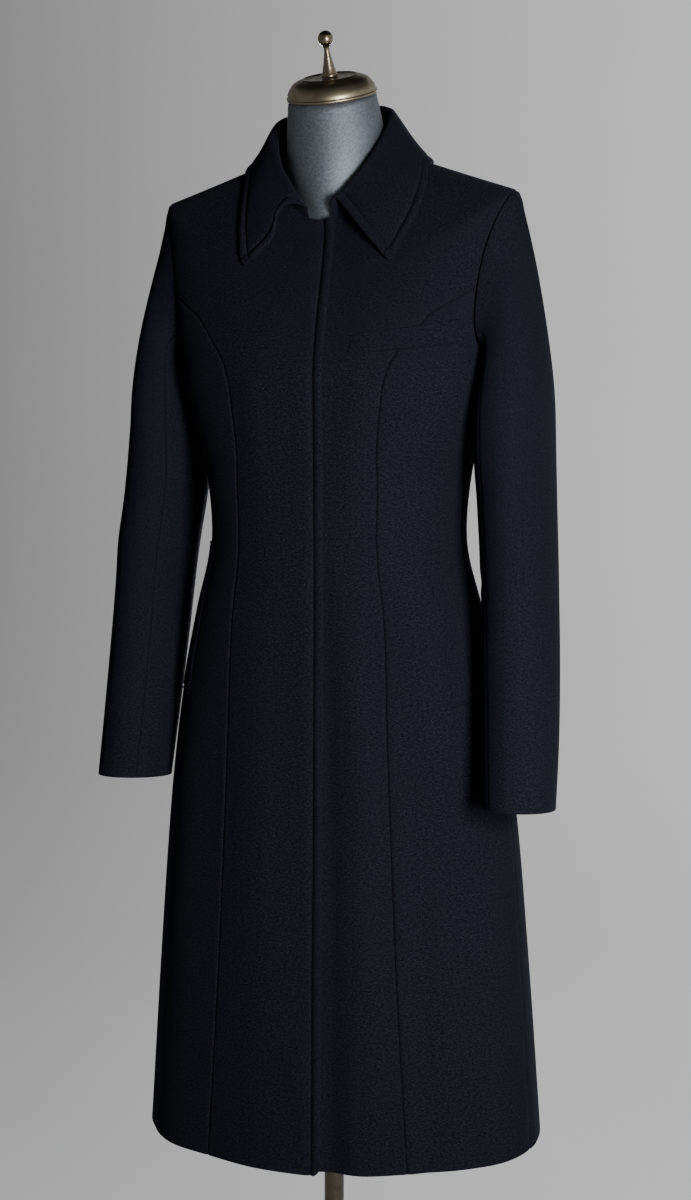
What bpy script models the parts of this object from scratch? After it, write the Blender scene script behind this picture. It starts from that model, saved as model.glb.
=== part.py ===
"""Wool overcoat worn on a limbless dress form, on a pole stand with a round base.

Metres, +Z up. The coat's front faces -Y and its wearer's left is +X. The origin is the centre of the
base's underside, on the axis of the pole.

The whole coat is worked out from one surface, the body surface: rings that go round the trunk, from the
hem at level 0 to the neck at level 14. An angle of 0 is the centre front, +90 degrees the wearer's left
side and 180 the centre back. Above the armpit the rings ride up at the sides, over the shoulders, so that
the same rings also make the shoulder slope. Panels are pieces of that surface between two seams, pockets
and collar lie on its points moved out, and the form under the coat is its points moved in.
"""

import math
from collections import namedtuple

import bmesh
import bpy
import numpy as np
from mathutils import Matrix, Vector

# ---------------------------------------------------------------- sizes

WALL = 0.0026               # thickness of the wool melton with its interlining
SEAM_GAP = 0.0003           # between two pieces that are sewn together
SEAM_DIP = 0.0009           # how far a piece's face falls away beside a seam
SEAM_BAND = 0.0035          # width of that fall
EDGE_ROUND = 0.0005         # a free edge is this much thinner on its face

POLE_BEHIND = 0.0185        # the trunk's middle lies this far behind the pole

# Rings of the body surface. Angles 0, 90 and 180 have their own heights; square is how much fuller the
# ring is than an ellipse at 45 degrees.
Ring = namedtuple("Ring", "side_z front_z back_z half_width front_depth back_depth square")
BODY_RINGS = {
    "hem":       Ring(0.2915, 0.2915, 0.2915, 0.2285, 0.130, 0.164, 0.00),
    "calf":      Ring(0.4700, 0.4700, 0.4700, 0.2150, 0.126, 0.156, 0.00),
    "knee":      Ring(0.6220, 0.6220, 0.6220, 0.2015, 0.122, 0.148, 0.01),
    "low_hip":   Ring(0.7200, 0.7200, 0.7200, 0.1905, 0.120, 0.141, 0.02),
    "hip":       Ring(0.8080, 0.8080, 0.8080, 0.1765, 0.119, 0.133, 0.03),
    "high_hip":  Ring(0.8850, 0.8850, 0.8850, 0.1585, 0.118, 0.126, 0.04),
    "waist":     Ring(0.9600, 0.9600, 0.9600, 0.1395, 0.118, 0.120, 0.05),
    "rib":       Ring(1.0420, 1.0420, 1.0420, 0.1455, 0.118, 0.120, 0.06),
    "bust":      Ring(1.1100, 1.1100, 1.1100, 0.1645, 0.119, 0.117, 0.07),
    "armpit":    Ring(1.1550, 1.1500, 1.1520, 0.1735, 0.117, 0.115, 0.07),
    "chest":     Ring(1.2400, 1.1950, 1.2150, 0.1880, 0.105, 0.110, 0.06),
    "shoulder":  Ring(1.3290, 1.2450, 1.2850, 0.1970, 0.086, 0.094, 0.04),
    "collar":    Ring(1.3445, 1.2700, 1.3300, 0.1500, 0.075, 0.082, 0.02),
    "nape":      Ring(1.3600, 1.2870, 1.3620, 0.1050, 0.066, 0.068, 0.00),
    "neck":      Ring(1.3735, 1.3000, 1.3830, 0.0680, 0.061, 0.058, 0.00),
}
LEVEL = {name: float(index) for index, name in enumerate(BODY_RINGS)}
ARMPIT, SHOULDER, NECK = LEVEL["armpit"], LEVEL["shoulder"], LEVEL["neck"]

HEM_TILT = 0.0115           # the hem hangs this much lower at the wearer's right side than in front
RIGHT_FRONT_DROP = 0.0040   # the upper front hangs a little below the under one

# Armhole: an oval in angle and level round the side of the trunk
ARMHOLE_STEPS = 10          # rows of points up each side of it
ARMHOLE_FRONT = math.radians(30.5)
ARMHOLE_BACK = math.radians(29.0)
ARMHOLE_POWER = 2.5         # 2 is an ellipse, more is squarer

# Front princess seam, from the hem to the armhole
SeamPlace = namedtuple("SeamPlace", "level angle")
PRINCESS_SEAM = [SeamPlace(*row) for row in (
    (0.0, 30.3), (1.1, 28.7), (2.1, 28.2), (3.2, 28.4), (4.0, 29.4), (5.1, 31.5), (6.5, 32.0),
    (7.4, 29.4), (8.15, 28.5), (8.6, 29.1), (8.97, 30.3), (9.2, 32.4), (9.46, 35.7), (9.68, 39.0),
    (9.82, 43.0),
)]
PRINCESS_TOP_STEP = 5       # the seam ends in the armhole at this step up its front
TIP_SHARE = 0.80            # how far the side front's narrow tip reaches into the seam's end
TIP_GAP = 0.0006
SIDE_SEAM = [SeamPlace(*row) for row in ((0.0, 82.0), (1.0, 84.5), (2.0, 88.0), (4.0, 90.0), (9.0, 90.0))]

# Overlap of the fronts: the wearer's right front closes over the left
OverlapPlace = namedtuple("OverlapPlace", "level upper_edge_x under_edge_x")
OVERLAP = [OverlapPlace(*row) for row in (
    (0.0, 0.0230, -0.030), (9.0, 0.0225, -0.030), (11.6, 0.0200, -0.024), (14.0, 0.0140, -0.012),
)]
UNDER_GAP = 0.0007          # the left front lies this far behind the right front's back face
UNDER_FADE = 0.045          # over this much of its width the left front comes back to the surface
FRONT_BAND = 0.0110         # topstitching lies this far inside the front edge
GROOVE_WIDTH = 0.0030
GROOVE_DEPTH = 0.0010
CORNER_RADIUS = 0.0100      # rounded lower corner of the front edge

# Sleeve rings below the armhole, x outward. tilt raises the ring's front edge. The empty sleeves hang a
# little differently.
SleeveRing = namedtuple("SleeveRing", "z x y half_side half_fore tilt")
LEFT_SLEEVE = {
    "bicep":   SleeveRing(1.090, 0.2005, 0.0130, 0.0375, 0.0740, 0.0),
    "upper":   SleeveRing(1.030, 0.1998, 0.0150, 0.0400, 0.0720, 1.0),
    "elbow":   SleeveRing(0.944, 0.2050, 0.0085, 0.0395, 0.0680, 3.0),
    "forearm": SleeveRing(0.850, 0.2120, -0.0120, 0.0404, 0.0620, 6.0),
    "wrist":   SleeveRing(0.765, 0.2182, -0.0340, 0.0395, 0.0580, 7.0),
    "cuff":    SleeveRing(0.6915, 0.2225, -0.0530, 0.0368, 0.0550, 7.0),
}
RIGHT_SLEEVE = {
    "bicep":   SleeveRing(1.090, 0.1985, 0.0130, 0.0355, 0.0740, 0.0),
    "upper":   SleeveRing(1.030, 0.2030, 0.0150, 0.0400, 0.0720, 1.0),
    "elbow":   SleeveRing(0.944, 0.2130, 0.0085, 0.0388, 0.0680, 3.0),
    "forearm": SleeveRing(0.850, 0.2170, -0.0080, 0.0385, 0.0620, 6.0),
    "wrist":   SleeveRing(0.767, 0.2205, -0.0240, 0.0378, 0.0580, 7.0),
    "cuff":    SleeveRing(0.695, 0.2230, -0.0400, 0.0370, 0.0550, 7.0),
}
# How the sleeve leaves the armhole, by angle round it from the top over the front: fold is the angle
# that it breaks away from the body by, reach and rise are the lengths of the curve's two handles, and gap
# lies between the armhole's line and the sleeve's edge
HeadPlace = namedtuple("HeadPlace", "around fold reach rise gap")
SLEEVE_HEAD = [HeadPlace(*row) for row in (
    (0.0, 4.0, 0.020, 0.110, 0.0012), (36.0, 11.0, 0.030, 0.090, 0.0008), (90.0, 38.0, 0.034, 0.060, 0.0004),
    (135.0, 70.0, 0.020, 0.035, 0.0004), (180.0, 95.0, 0.012, 0.030, 0.0004),
    (225.0, 66.0, 0.020, 0.035, 0.0004), (270.0, 34.0, 0.034, 0.060, 0.0004),
    (324.0, 10.0, 0.030, 0.090, 0.0008), (360.0, 4.0, 0.020, 0.110, 0.0012),
)]
SLEEVE_HEAD_STEPS = (0.07, 0.18, 0.32, 0.48, 0.66, 0.84)
SLEEVE_TUBE_STEPS = 8
FORE_SEAM_STEP = 7          # the two-piece sleeve's front seam, in steps of the armhole from its top
HIND_SEAM_STEP = 14         # and its back seam

# Collar: its seam runs round the neck between two ends beside the centre front
COLLAR_END_X = 0.0125
COLLAR_LEAST_STEP = math.radians(4.0)
COLLAR_SEAM_GAP = 0.0007
RollPlace = namedtuple("RollPlace", "around left_x right_x y z")
COLLAR_ROLL = [RollPlace(*row) for row in (     # the crest of the fold, by angle round the neck
    (0.0, 0.0190, 0.0190, -0.0520, 1.3210), (20.0, 0.0290, 0.0290, -0.0460, 1.3290),
    (50.0, 0.0530, 0.0550, -0.0260, 1.3650), (90.0, 0.0615, 0.0700, 0.0130, 1.4070),
    (130.0, 0.0410, 0.0500, 0.0560, 1.4270), (180.0, 0.0, 0.0, 0.0770, 1.4320),
    (230.0, -0.0500, -0.0410, 0.0560, 1.4270),      # past the centre back
)]
EdgePlace = namedtuple("EdgePlace", "around left_angle right_angle level belly")
COLLAR_EDGE = [EdgePlace(*row) for row in (     # the free edge, on the body surface, and how far the fall
    (0.0, 24.7, 22.4, 10.86, 0.005), (9.0, 28.4, 25.2, 11.15, 0.005),      # bows out above it
    (22.0, 34.0, 29.0, 11.52, 0.004), (37.0, 47.0, 37.5, 12.12, 0.003),
    (55.0, 62.0, 48.5, 12.60, 0.001), (78.0, 77.0, 66.0, 12.95, -0.002),
    (105.0, 100.0, 92.0, 13.05, -0.002), (140.0, 135.0, 132.0, 13.00, 0.0),
    (180.0, 180.0, 180.0, 12.90, 0.002), (220.0, 228.0, 225.0, 13.00, 0.0),
)]
COLLAR_BANDS = (FRONT_BAND - GROOVE_WIDTH / 2, FRONT_BAND, FRONT_BAND + GROOVE_WIDTH / 2)
COLLAR_GROOVE_ROW = 4       # the topstitching starts at this row, past the fold
COLLAR_FOLD_RADIUS = 0.0045
COLLAR_LIFT = 0.0014        # its underside stands this far off the fronts at the edge

# Pockets, as patches of the body surface: angles in degrees, levels of the ring table
POCKET_GAP = 0.0005
POCKET_WALL = 0.0018
CHEST_WELT = {"angles": (15.5, 54.5), "low": (9.15, 9.24), "high": (9.60, 9.60), "between": (9.412,)}
HIP_WELT = {"angles": (53.8, 66.6), "low": (3.80, 3.85), "high": (5.94, 6.00), "between": (4.3, 4.8, 5.2, 5.6)}

# Form: how far its cover lies inside the coat's back face, by level
ClearPlace = namedtuple("ClearPlace", "level clear")
FORM_CLEAR = [ClearPlace(*row) for row in (
    (3.0, 0.018), (4.0, 0.020), (5.0, 0.018), (6.0, 0.012), (7.0, 0.008), (8.0, 0.006), (9.0, 0.006),
    (10.0, 0.006), (10.7, 0.006), (11.3, 0.0010), (12.0, 0.0004), (13.0, 0.0004), (13.5, 0.0006),
)]
FORM_SLOPE_CLEAR = 0.0045   # more on the shoulder slope in front and behind, so that the seam carries the coat
FORM_FRONT_CLEAR = 0.0060   # more beside the centre front, where the left front lies deeper
FORM_FRONT_SPREAD = math.radians(20.0)
FORM_LEVELS = (3.2, 3.6, 4.0, 4.5, 5.0, 5.5, 6.0, 6.5, 7.0, 7.5, 8.0, 8.5, 9.0, 9.6, 10.2, 10.7,
               11.3, 11.8, 12.3, 12.8, 13.4)
FORM_SIDES = 24
NeckRing = namedtuple("NeckRing", "side_z front_z back_z half_width front_y back_y")
FORM_NECK = [NeckRing(*row) for row in (
    (1.3700, 1.3020, 1.3760, 0.0590, -0.0330, 0.0690),
    (1.3850, 1.3240, 1.3880, 0.0545, -0.0375, 0.0600),
    (1.4030, 1.3580, 1.4080, 0.0518, -0.0420, 0.0530),
)]
CAP_CENTRE = (0.0, 0.0, 1.4320)
CAP_LEAN = math.radians(20.0)
CAP_RADIUS = 0.0505
NECK_TOP_RADIUS = 0.0492

POLE_RADIUS = 0.0111
BASE_RADIUS = 0.1950
BASE_HEIGHT = 0.0300
SOCKET_RADIUS = 0.0190
SOCKET_TOP = 0.0620
SOCKET_FLOOR = 0.0200
HUB_RADIUS = 0.0300
HUB_HEIGHT = 0.0260

COLOURS = {                 # base colour, roughness, metallic
    "wool":  ((0.013, 0.015, 0.024), 0.92, 0.0),
    "cover": ((0.250, 0.300, 0.370), 0.50, 0.25),
    "brass": ((0.420, 0.340, 0.200), 0.36, 1.0),
    "steel": ((0.340, 0.310, 0.240), 0.34, 1.0),
    "iron":  ((0.045, 0.043, 0.040), 0.45, 0.60),
}


# ---------------------------------------------------------------- curves through tables

def smooth_row(places, rows, place):
    """Values at a place between rows, on a smooth curve through them."""
    last = len(places) - 1
    index = int(np.clip(np.searchsorted(places, place, side="right") - 1, 0, last - 1))
    start, end = places[index], places[index + 1]
    span = end - start
    t = (place - start) / span

    def slope(k):
        low, high = max(k - 1, 0), min(k + 1, last)
        return (rows[high] - rows[low]) / (places[high] - places[low])

    a, b = rows[index], rows[index + 1]
    slope_a, slope_b = slope(index) * span, slope(index + 1) * span
    return (a * (2 * t ** 3 - 3 * t ** 2 + 1) + slope_a * (t ** 3 - 2 * t ** 2 + t)
            + b * (3 * t ** 2 - 2 * t ** 3) + slope_b * (t ** 3 - t ** 2))


def read(rows, place):
    """The row of a table at a place in its first column, with the same named columns."""
    grid = np.array(rows, dtype=float)
    place = min(max(place, grid[0, 0]), grid[-1, 0])
    return type(rows[0])(place, *smooth_row(grid[:, 0], grid[:, 1:], place))


def ease(t):
    t = min(max(t, 0.0), 1.0)
    return t * t * (3 - 2 * t)


# ---------------------------------------------------------------- body surface

RING_VALUES = np.array(list(BODY_RINGS.values()))
LOWER = int(SHOULDER) + 1   # rings up to the shoulder and from it on are two curves, with a ridge between


def ring(level, above=False):
    """Ring values at a level; above reads the shoulder ring as the start of the shoulder slope."""
    level = min(max(level, 0.0), NECK)
    if level > SHOULDER or (above and level >= SHOULDER):
        places = np.arange(SHOULDER, NECK + 1)
        return Ring(*smooth_row(places, RING_VALUES[LOWER - 1:], level))
    return Ring(*smooth_row(np.arange(LOWER, dtype=float), RING_VALUES[:LOWER], level))


def body_point(angle, level, above=False):
    here = ring(level, above)
    sine, cosine = math.sin(angle), math.cos(angle)
    full = 1 + here.square * math.sin(2 * angle) ** 2
    depth = here.front_depth if cosine > 0 else here.back_depth
    far_z = here.front_z if cosine > 0 else here.back_z
    z = here.side_z + (far_z - here.side_z) * cosine ** 2
    return np.array((here.half_width * sine * full, POLE_BEHIND - depth * cosine * full, z))


def along_angle(angle, level, above=False, step=1e-3):
    return (body_point(angle + step, level, above) - body_point(angle - step, level, above)) / (2 * step)


def along_level(angle, level, above=False, step=1e-3):
    if above and level < SHOULDER + step or level < step:
        return (body_point(angle, level + step, above) - body_point(angle, level, above)) / step
    if level > NECK - step or level > SHOULDER - step and level <= SHOULDER:
        return (body_point(angle, level, above) - body_point(angle, level - step, above)) / step
    return (body_point(angle, level + step, above) - body_point(angle, level - step, above)) / (2 * step)


def unit(vector):
    return vector / np.linalg.norm(vector)


def body_normal(angle, level):
    above = level >= SHOULDER
    return unit(np.cross(along_angle(angle, level, above), along_level(angle, level, above)))


# ---------------------------------------------------------------- seams on the body surface

def armhole_step(step):
    """Level at a step round the armhole, and the share of its half width there; step 0 is its top."""
    turn = math.pi * step / ARMHOLE_STEPS
    middle = (SHOULDER + ARMPIT) / 2
    half = (SHOULDER - ARMPIT) / 2
    height = math.cos(turn)
    share = max(1 - abs(height) ** ARMHOLE_POWER, 0.0) ** (1 / ARMHOLE_POWER)
    return middle + half * height, share


def armhole_angle(level, side):
    """Angle of the armhole at a level, on its front (side 1) or back (side -1)."""
    middle = (SHOULDER + ARMPIT) / 2
    height = min(abs(level - middle) / ((SHOULDER - ARMPIT) / 2), 1.0)
    share = max(1 - height ** ARMHOLE_POWER, 0.0) ** (1 / ARMHOLE_POWER)
    width = ARMHOLE_FRONT if side > 0 else ARMHOLE_BACK
    return math.pi / 2 - side * width * share


SKIRT_ROWS = [0.0, 0.06, 1.0, 2.0, 3.0, 3.4, 3.8, 4.3, 4.8, 5.2, 5.6, 6.0, 6.5, 7.0, 7.5, 8.0, 8.5]
ARMHOLE_ROWS = [armhole_step(ARMHOLE_STEPS - k)[0] for k in range(ARMHOLE_STEPS + 1)]
SLOPE_ROWS = [11.4, 11.8, 12.3, 12.8, 13.4, NECK]
ALL_ROWS = SKIRT_ROWS + ARMHOLE_ROWS + SLOPE_ROWS
PRINCESS_TOP_ROW = len(SKIRT_ROWS) + PRINCESS_TOP_STEP
PRINCESS_TOP_LEVEL = ALL_ROWS[PRINCESS_TOP_ROW]


def princess_angle(level):
    top = SeamPlace(PRINCESS_TOP_LEVEL, math.degrees(armhole_angle(PRINCESS_TOP_LEVEL, 1)))
    return math.radians(read(PRINCESS_SEAM + [top], level).angle)


def side_angle(level):
    return math.radians(read(SIDE_SEAM, level).angle)


def front_outer_angle(level):
    """Outer edge of a front: princess seam, then armhole, then shoulder seam."""
    if level < PRINCESS_TOP_LEVEL:
        return princess_angle(level)
    return armhole_angle(level, 1) if level < SHOULDER else math.pi / 2


def back_outer_angle(level):
    """Outer edge of a back: side seam, then armhole, then shoulder seam."""
    if level <= ARMPIT:
        return side_angle(level)
    return armhole_angle(level, -1) if level < SHOULDER else math.pi / 2


def side_outer_angle(level):
    return side_angle(level) if level <= ARMPIT else armhole_angle(level, 1)


def edge_angle(x, level):
    return math.asin(x / ring(level).half_width)


def upper_edge_angle(level):
    return edge_angle(read(OVERLAP, level).upper_edge_x, level)


def under_edge_angle(level):
    return edge_angle(read(OVERLAP, level).under_edge_x, level)


# ---------------------------------------------------------------- solids from grids of points

def new_object(name, mesh, finish):
    thing = bpy.data.objects.new(name, mesh)
    thing.data.materials.clear()
    thing.data.materials.append(finish)
    COAT.objects.link(thing)
    return thing


def hang(grid):
    """Points of cloth as they hang: the skirt is lower at the wearer's right than at the left."""
    grid = np.array(grid)
    hem = BODY_RINGS["hem"]
    share = np.clip((BODY_RINGS["knee"].side_z - grid[..., 2]) / (BODY_RINGS["knee"].side_z - hem.side_z), 0, 1)
    grid[..., 2] += HEM_TILT * grid[..., 0] / hem.half_width * share ** 2 * (3 - 2 * share)
    return grid


def sheet_solid(name, face, back, finish):
    """A closed solid between two grids of points of the same shape, face out."""
    face, back = hang(face), hang(back)
    rows, columns = face.shape[:2]
    work = bmesh.new()
    grids = [[[work.verts.new(point) for point in line] for line in grid] for grid in (face, back)]
    for grid, order in zip(grids, (1, -1)):
        for r in range(rows - 1):
            for c in range(columns - 1):
                corners = [grid[r][c], grid[r][c + 1], grid[r + 1][c + 1], grid[r + 1][c]]
                work.faces.new(corners[::order])
    rim = ([(0, c) for c in range(columns)] + [(r, columns - 1) for r in range(1, rows)]
           + [(rows - 1, c) for c in range(columns - 2, -1, -1)] + [(r, 0) for r in range(rows - 2, 0, -1)])
    for (r, c), (s, d) in zip(rim, rim[1:] + rim[:1]):
        work.faces.new((grids[0][r][c], grids[1][r][c], grids[1][s][d], grids[0][s][d]))
    mesh = bpy.data.meshes.new(name)
    work.to_mesh(mesh)
    work.free()
    mesh.shade_smooth()
    mesh.set_sharp_from_angle(angle=math.radians(50))
    return new_object(name, mesh, finish)


def mirrored(grid):
    """The same grid on the wearer's other side, with its columns turned round to keep its face out."""
    grid = np.array(grid)
    flipped = grid[:, ::-1].copy()
    flipped[:, :, 0] *= -1
    return flipped


# ---------------------------------------------------------------- body panels

def seam_shift(seam, level, side):
    """Change of angle that moves a panel's edge half a seam gap back from its seam."""
    low = level if level == SHOULDER else max(level - 1e-3, 0.0)
    high = level if level == ARMPIT else min(level + 1e-3, NECK)
    above = level >= SHOULDER
    run = body_point(seam(high), high, above) - body_point(seam(low), low, above)
    across = along_angle(seam(level), level, above)
    return -side * SEAM_GAP / 2 / np.linalg.norm(np.cross(across, unit(run)))


def armhole_loop():
    """Points, outward normals and inward tangents round the armhole, from its top over the front."""
    points, normals = [], []
    for step in range(2 * ARMHOLE_STEPS):
        level, share = armhole_step(step)
        side = 1 if step <= ARMHOLE_STEPS else -1
        angle = armhole_angle(level, side) if step % ARMHOLE_STEPS else math.pi / 2
        points.append(body_point(angle, level, step == 0))
        normals.append(body_normal(angle, level))
    inwards = []
    for k, normal in enumerate(normals):
        run = points[(k + 1) % len(points)] - points[k - 1]
        inwards.append(unit(np.cross(normal, run)))
    return points, normals, inwards


def armhole_retreat(seam, level):
    """Move of a panel's edge point half a seam gap back from the armhole, where its seam is the armhole."""
    if level not in ARMHOLE_ROWS:
        return np.zeros(3)
    step = ARMHOLE_STEPS - ARMHOLE_ROWS.index(level)
    for side in (1, -1):
        if abs(seam(level) - armhole_angle(level, side)) < 1e-9:
            return -ARMHOLE_INWARDS[side * step] * SEAM_GAP / 2
    return np.zeros(3)


ARMHOLE_INWARDS = armhole_loop()[2]


def panel_places(level, inner, outer, columns, inner_seam=True, extra=()):
    """Angles of a panel's columns at a level, each with the rise of the face there.

    extra are bands beside the inner edge, as pairs of a distance from it and a rise."""
    start, end = inner(level), outer(level)
    corner = level in (ARMPIT, SHOULDER)
    if inner_seam and (corner or not armhole_retreat(inner, level).any()):
        start += seam_shift(inner, level, -1)
    if corner or not armhole_retreat(outer, level).any():
        end += seam_shift(outer, level, 1)
    across = np.linalg.norm(along_angle((start + end) / 2, level, level >= SHOULDER))
    band = min(SEAM_BAND / across, (end - start) * 0.2)
    places = [(start, -SEAM_DIP), (start + band, 0.0)] if inner_seam else [(start, -EDGE_ROUND)]
    near = np.linalg.norm(along_angle(start, level, level >= SHOULDER))
    places += [(start + distance / near, rise) for distance, rise in extra]
    first = places[-1][0]
    places += [(first + (end - band - first) * k / columns, 0.0) for k in range(1, columns + 1)]
    return places + [(end, -SEAM_DIP)]


def panel_grids(levels, inner, outer, columns, inset=None, **edges):
    """Face and back points of a body panel between two seams, given as angles by level."""
    face, back = [], []
    for level in levels:
        face_line, back_line = [], []
        places = panel_places(level, inner, outer, columns, **edges)
        moves = [armhole_retreat(inner, level)] + [0.0] * (len(places) - 2) + [armhole_retreat(outer, level)]
        for (angle, rise), move in zip(places, moves):
            point, normal = body_point(angle, level, level >= SHOULDER) + move, body_normal(angle, level)
            sunk = inset(angle, level) if inset else 0.0
            face_line.append(point + normal * (rise - sunk))
            back_line.append(point - normal * (WALL + sunk))
        face.append(face_line)
        back.append(back_line)
    return face, back


def drop_corner(grids, drop, radius):
    """Round the lower corner at the front edge and hang the hem a little lower."""
    for grid in grids:
        edge_x = grid[0][0][0]
        for line in grid[:2]:
            share = 1.0 if line is grid[0] else 0.6
            for point in line:
                distance = abs(point[0] - edge_x)
                corner = radius - math.sqrt(max(radius ** 2 - max(radius - distance, 0.0) ** 2, 0.0))
                point[2] += (corner - drop) * share


def under_inset(angle, level):
    """How deep the left front lies behind the right one."""
    beyond = (angle - upper_edge_angle(level)) * ring(level).half_width
    return (WALL + UNDER_GAP) * (1 - ease((beyond - 0.002) / UNDER_FADE))


TOPSTITCHED_EDGE = [(0.0018, 0.0), (FRONT_BAND - GROOVE_WIDTH / 2, 0.0), (FRONT_BAND, -GROOVE_DEPTH),
                    (FRONT_BAND + GROOVE_WIDTH / 2, 0.0)]
RIGHT_FRONT = {"inner": lambda level: -upper_edge_angle(level), "outer": front_outer_angle, "columns": 6,
               "inner_seam": False, "extra": TOPSTITCHED_EDGE}
LEFT_FRONT = {"inner": under_edge_angle, "outer": front_outer_angle, "columns": 8, "inner_seam": False}
BACK = {"inner": back_outer_angle, "outer": lambda level: math.pi, "columns": 7}


def fronts():
    right = panel_grids(ALL_ROWS, **RIGHT_FRONT)
    drop_corner(right, RIGHT_FRONT_DROP, CORNER_RADIUS)
    sheet_solid("right_front", *[mirrored(grid) for grid in right], WOOL)
    left = panel_grids(ALL_ROWS, inset=under_inset, **LEFT_FRONT)
    drop_corner(left, 0.0, CORNER_RADIUS)
    sheet_solid("left_front", *left, WOOL)


def side_fronts():
    """Side panel of the front, ending in a narrow tip where the princess seam runs into the armhole."""
    levels = ALL_ROWS[:PRINCESS_TOP_ROW]
    grids = panel_grids(levels, princess_angle, side_outer_angle, 6)
    end_angle = armhole_angle(PRINCESS_TOP_LEVEL, 1)
    under_seam = body_point(end_angle, PRINCESS_TOP_LEVEL) - np.array((0.0, 0.0, TIP_GAP))
    seam_normal = body_normal(end_angle, PRINCESS_TOP_LEVEL)
    for grid, depth in zip(grids, (SEAM_DIP, WALL)):
        tip = under_seam - seam_normal * depth
        grid.append([point + (tip - point) * TIP_SHARE for point in grid[-1]])
    sheet_solid("left_side_front", *grids, WOOL)
    sheet_solid("right_side_front", *[mirrored(grid) for grid in grids], WOOL)


def backs():
    grids = panel_grids(ALL_ROWS, **BACK)
    sheet_solid("left_back", *grids, WOOL)
    sheet_solid("right_back", *[mirrored(grid) for grid in grids], WOOL)


# ---------------------------------------------------------------- sleeves

def sleeve_ring_point(here, around):
    fore = here.half_fore * math.sin(around)
    lean = math.radians(here.tilt)
    return np.array((here.x + here.half_side * math.cos(around), here.y - fore * math.cos(lean),
                     here.z + fore * math.sin(lean)))


def sleeve_lines(rings):
    """Rows of points of the sleeve from armhole to cuff, each row once round from the top."""
    points, normals, inwards = armhole_loop()
    count = len(points)
    turns = [2 * math.pi * k / count for k in range(count)]
    gaps = [read(SLEEVE_HEAD, math.degrees(turn)).gap for turn in turns]
    start = [point + inward * gap for point, inward, gap in zip(points, inwards, gaps)]
    rows = [start]
    ends = [sleeve_ring_point(rings[0], turn) for turn in turns]
    for t in SLEEVE_HEAD_STEPS:
        line = []
        for k, turn in enumerate(turns):
            head = read(SLEEVE_HEAD, math.degrees(turn))
            fold = math.radians(head.fold)
            leave = start[k] + head.reach * (inwards[k] * math.cos(fold) + normals[k] * math.sin(fold))
            arrive = ends[k] + np.array((-0.002, 0.0, head.rise))
            line.append((1 - t) ** 3 * start[k] + 3 * t * (1 - t) ** 2 * leave
                        + 3 * t * t * (1 - t) * arrive + t ** 3 * ends[k])
        rows.append(line)
    for z in np.linspace(rings[0].z, rings[-1].z, SLEEVE_TUBE_STEPS + 1):
        here = SleeveRing(*smooth_row([-ring_.z for ring_ in rings], np.array(rings), -z))
        rows.append([sleeve_ring_point(here, turn) for turn in turns])
    return np.array(rows), normals, inwards


def grid_normals(rows, closed):
    """Outward unit normals of a grid that runs down its rows and round its columns."""
    rows = np.array(rows)
    down = np.gradient(rows, axis=0)
    if closed:
        round_ = (np.roll(rows, -1, axis=1) - np.roll(rows, 1, axis=1)) / 2
    else:
        round_ = np.gradient(rows, axis=1)
    normals = np.cross(round_, down)
    return normals / np.linalg.norm(normals, axis=2, keepdims=True)


def sleeve(rings, wearer_side):
    rows, body_normals, inwards = sleeve_lines(list(rings.values()))
    normals = grid_normals(rows, closed=True)
    for k, (normal, inward) in enumerate(zip(body_normals, inwards)):
        if -normals[0][k] @ inward < 0:
            normals[0][k] = normal
    count = rows.shape[1]
    pieces = {"under": (FORE_SEAM_STEP, HIND_SEAM_STEP), "upper": (HIND_SEAM_STEP, FORE_SEAM_STEP + count)}
    for piece, (first, last) in pieces.items():
        face, back = [], []
        for line, out in zip(rows, normals):
            spots = []
            for k in range(first, last + 1):
                spot, normal = line[k % count], out[k % count]
                if k in (first, last):
                    inner = line[(k + (1 if k == first else -1)) % count]
                    inner_normal = out[(k + (1 if k == first else -1)) % count]
                    length = np.linalg.norm(inner - spot)
                    edge, near = SEAM_GAP / 2 / length, SEAM_BAND / length
                    pair = [(spot + (inner - spot) * edge, normal, SEAM_DIP),
                            (spot + (inner - spot) * near, unit(normal + (inner_normal - normal) * near), 0.0)]
                    spots += pair if k == first else pair[::-1]
                else:
                    spots.append((spot, normal, 0.0))
            face.append([spot - normal * dip for spot, normal, dip in spots])
            back.append([spot - normal * WALL for spot, normal, dip in spots])
        face[0] = [point - (face[0][k] - back[0][k]) * 0.25 for k, point in enumerate(face[0])]
        grids = [np.array(face)[::-1, ::-1], np.array(back)[::-1, ::-1]]
        if wearer_side == "right":
            grids = [mirrored(grid) for grid in grids]
        sheet_solid(wearer_side + "_sleeve_" + piece, *grids, WOOL)


# ---------------------------------------------------------------- collar

def catmull(points, steps):
    """Points on a smooth curve through the given ones, steps[k] of them between each pair."""
    places = np.arange(len(points), dtype=float)
    values = np.array(points)
    out = []
    for k, count in enumerate(steps):
        out += [smooth_row(places, values, k + j / count) for j in range(count)]
    return out + [values[-1]]


COLLAR_END = math.asin(COLLAR_END_X / BODY_RINGS["neck"][3])


def collar_stations(front):
    """Angles of the collar's columns on one side: its front end, then the columns that the panels have
    at the neck, so that both edges of the neck seam are the same line."""
    angles = [COLLAR_END]
    for panel in (front, BACK):
        for angle, rise in panel_places(NECK, **panel):
            if angle - angles[-1] > COLLAR_LEAST_STEP:
                angles.append(angle)
    return angles[:-1] + [math.pi]


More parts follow.
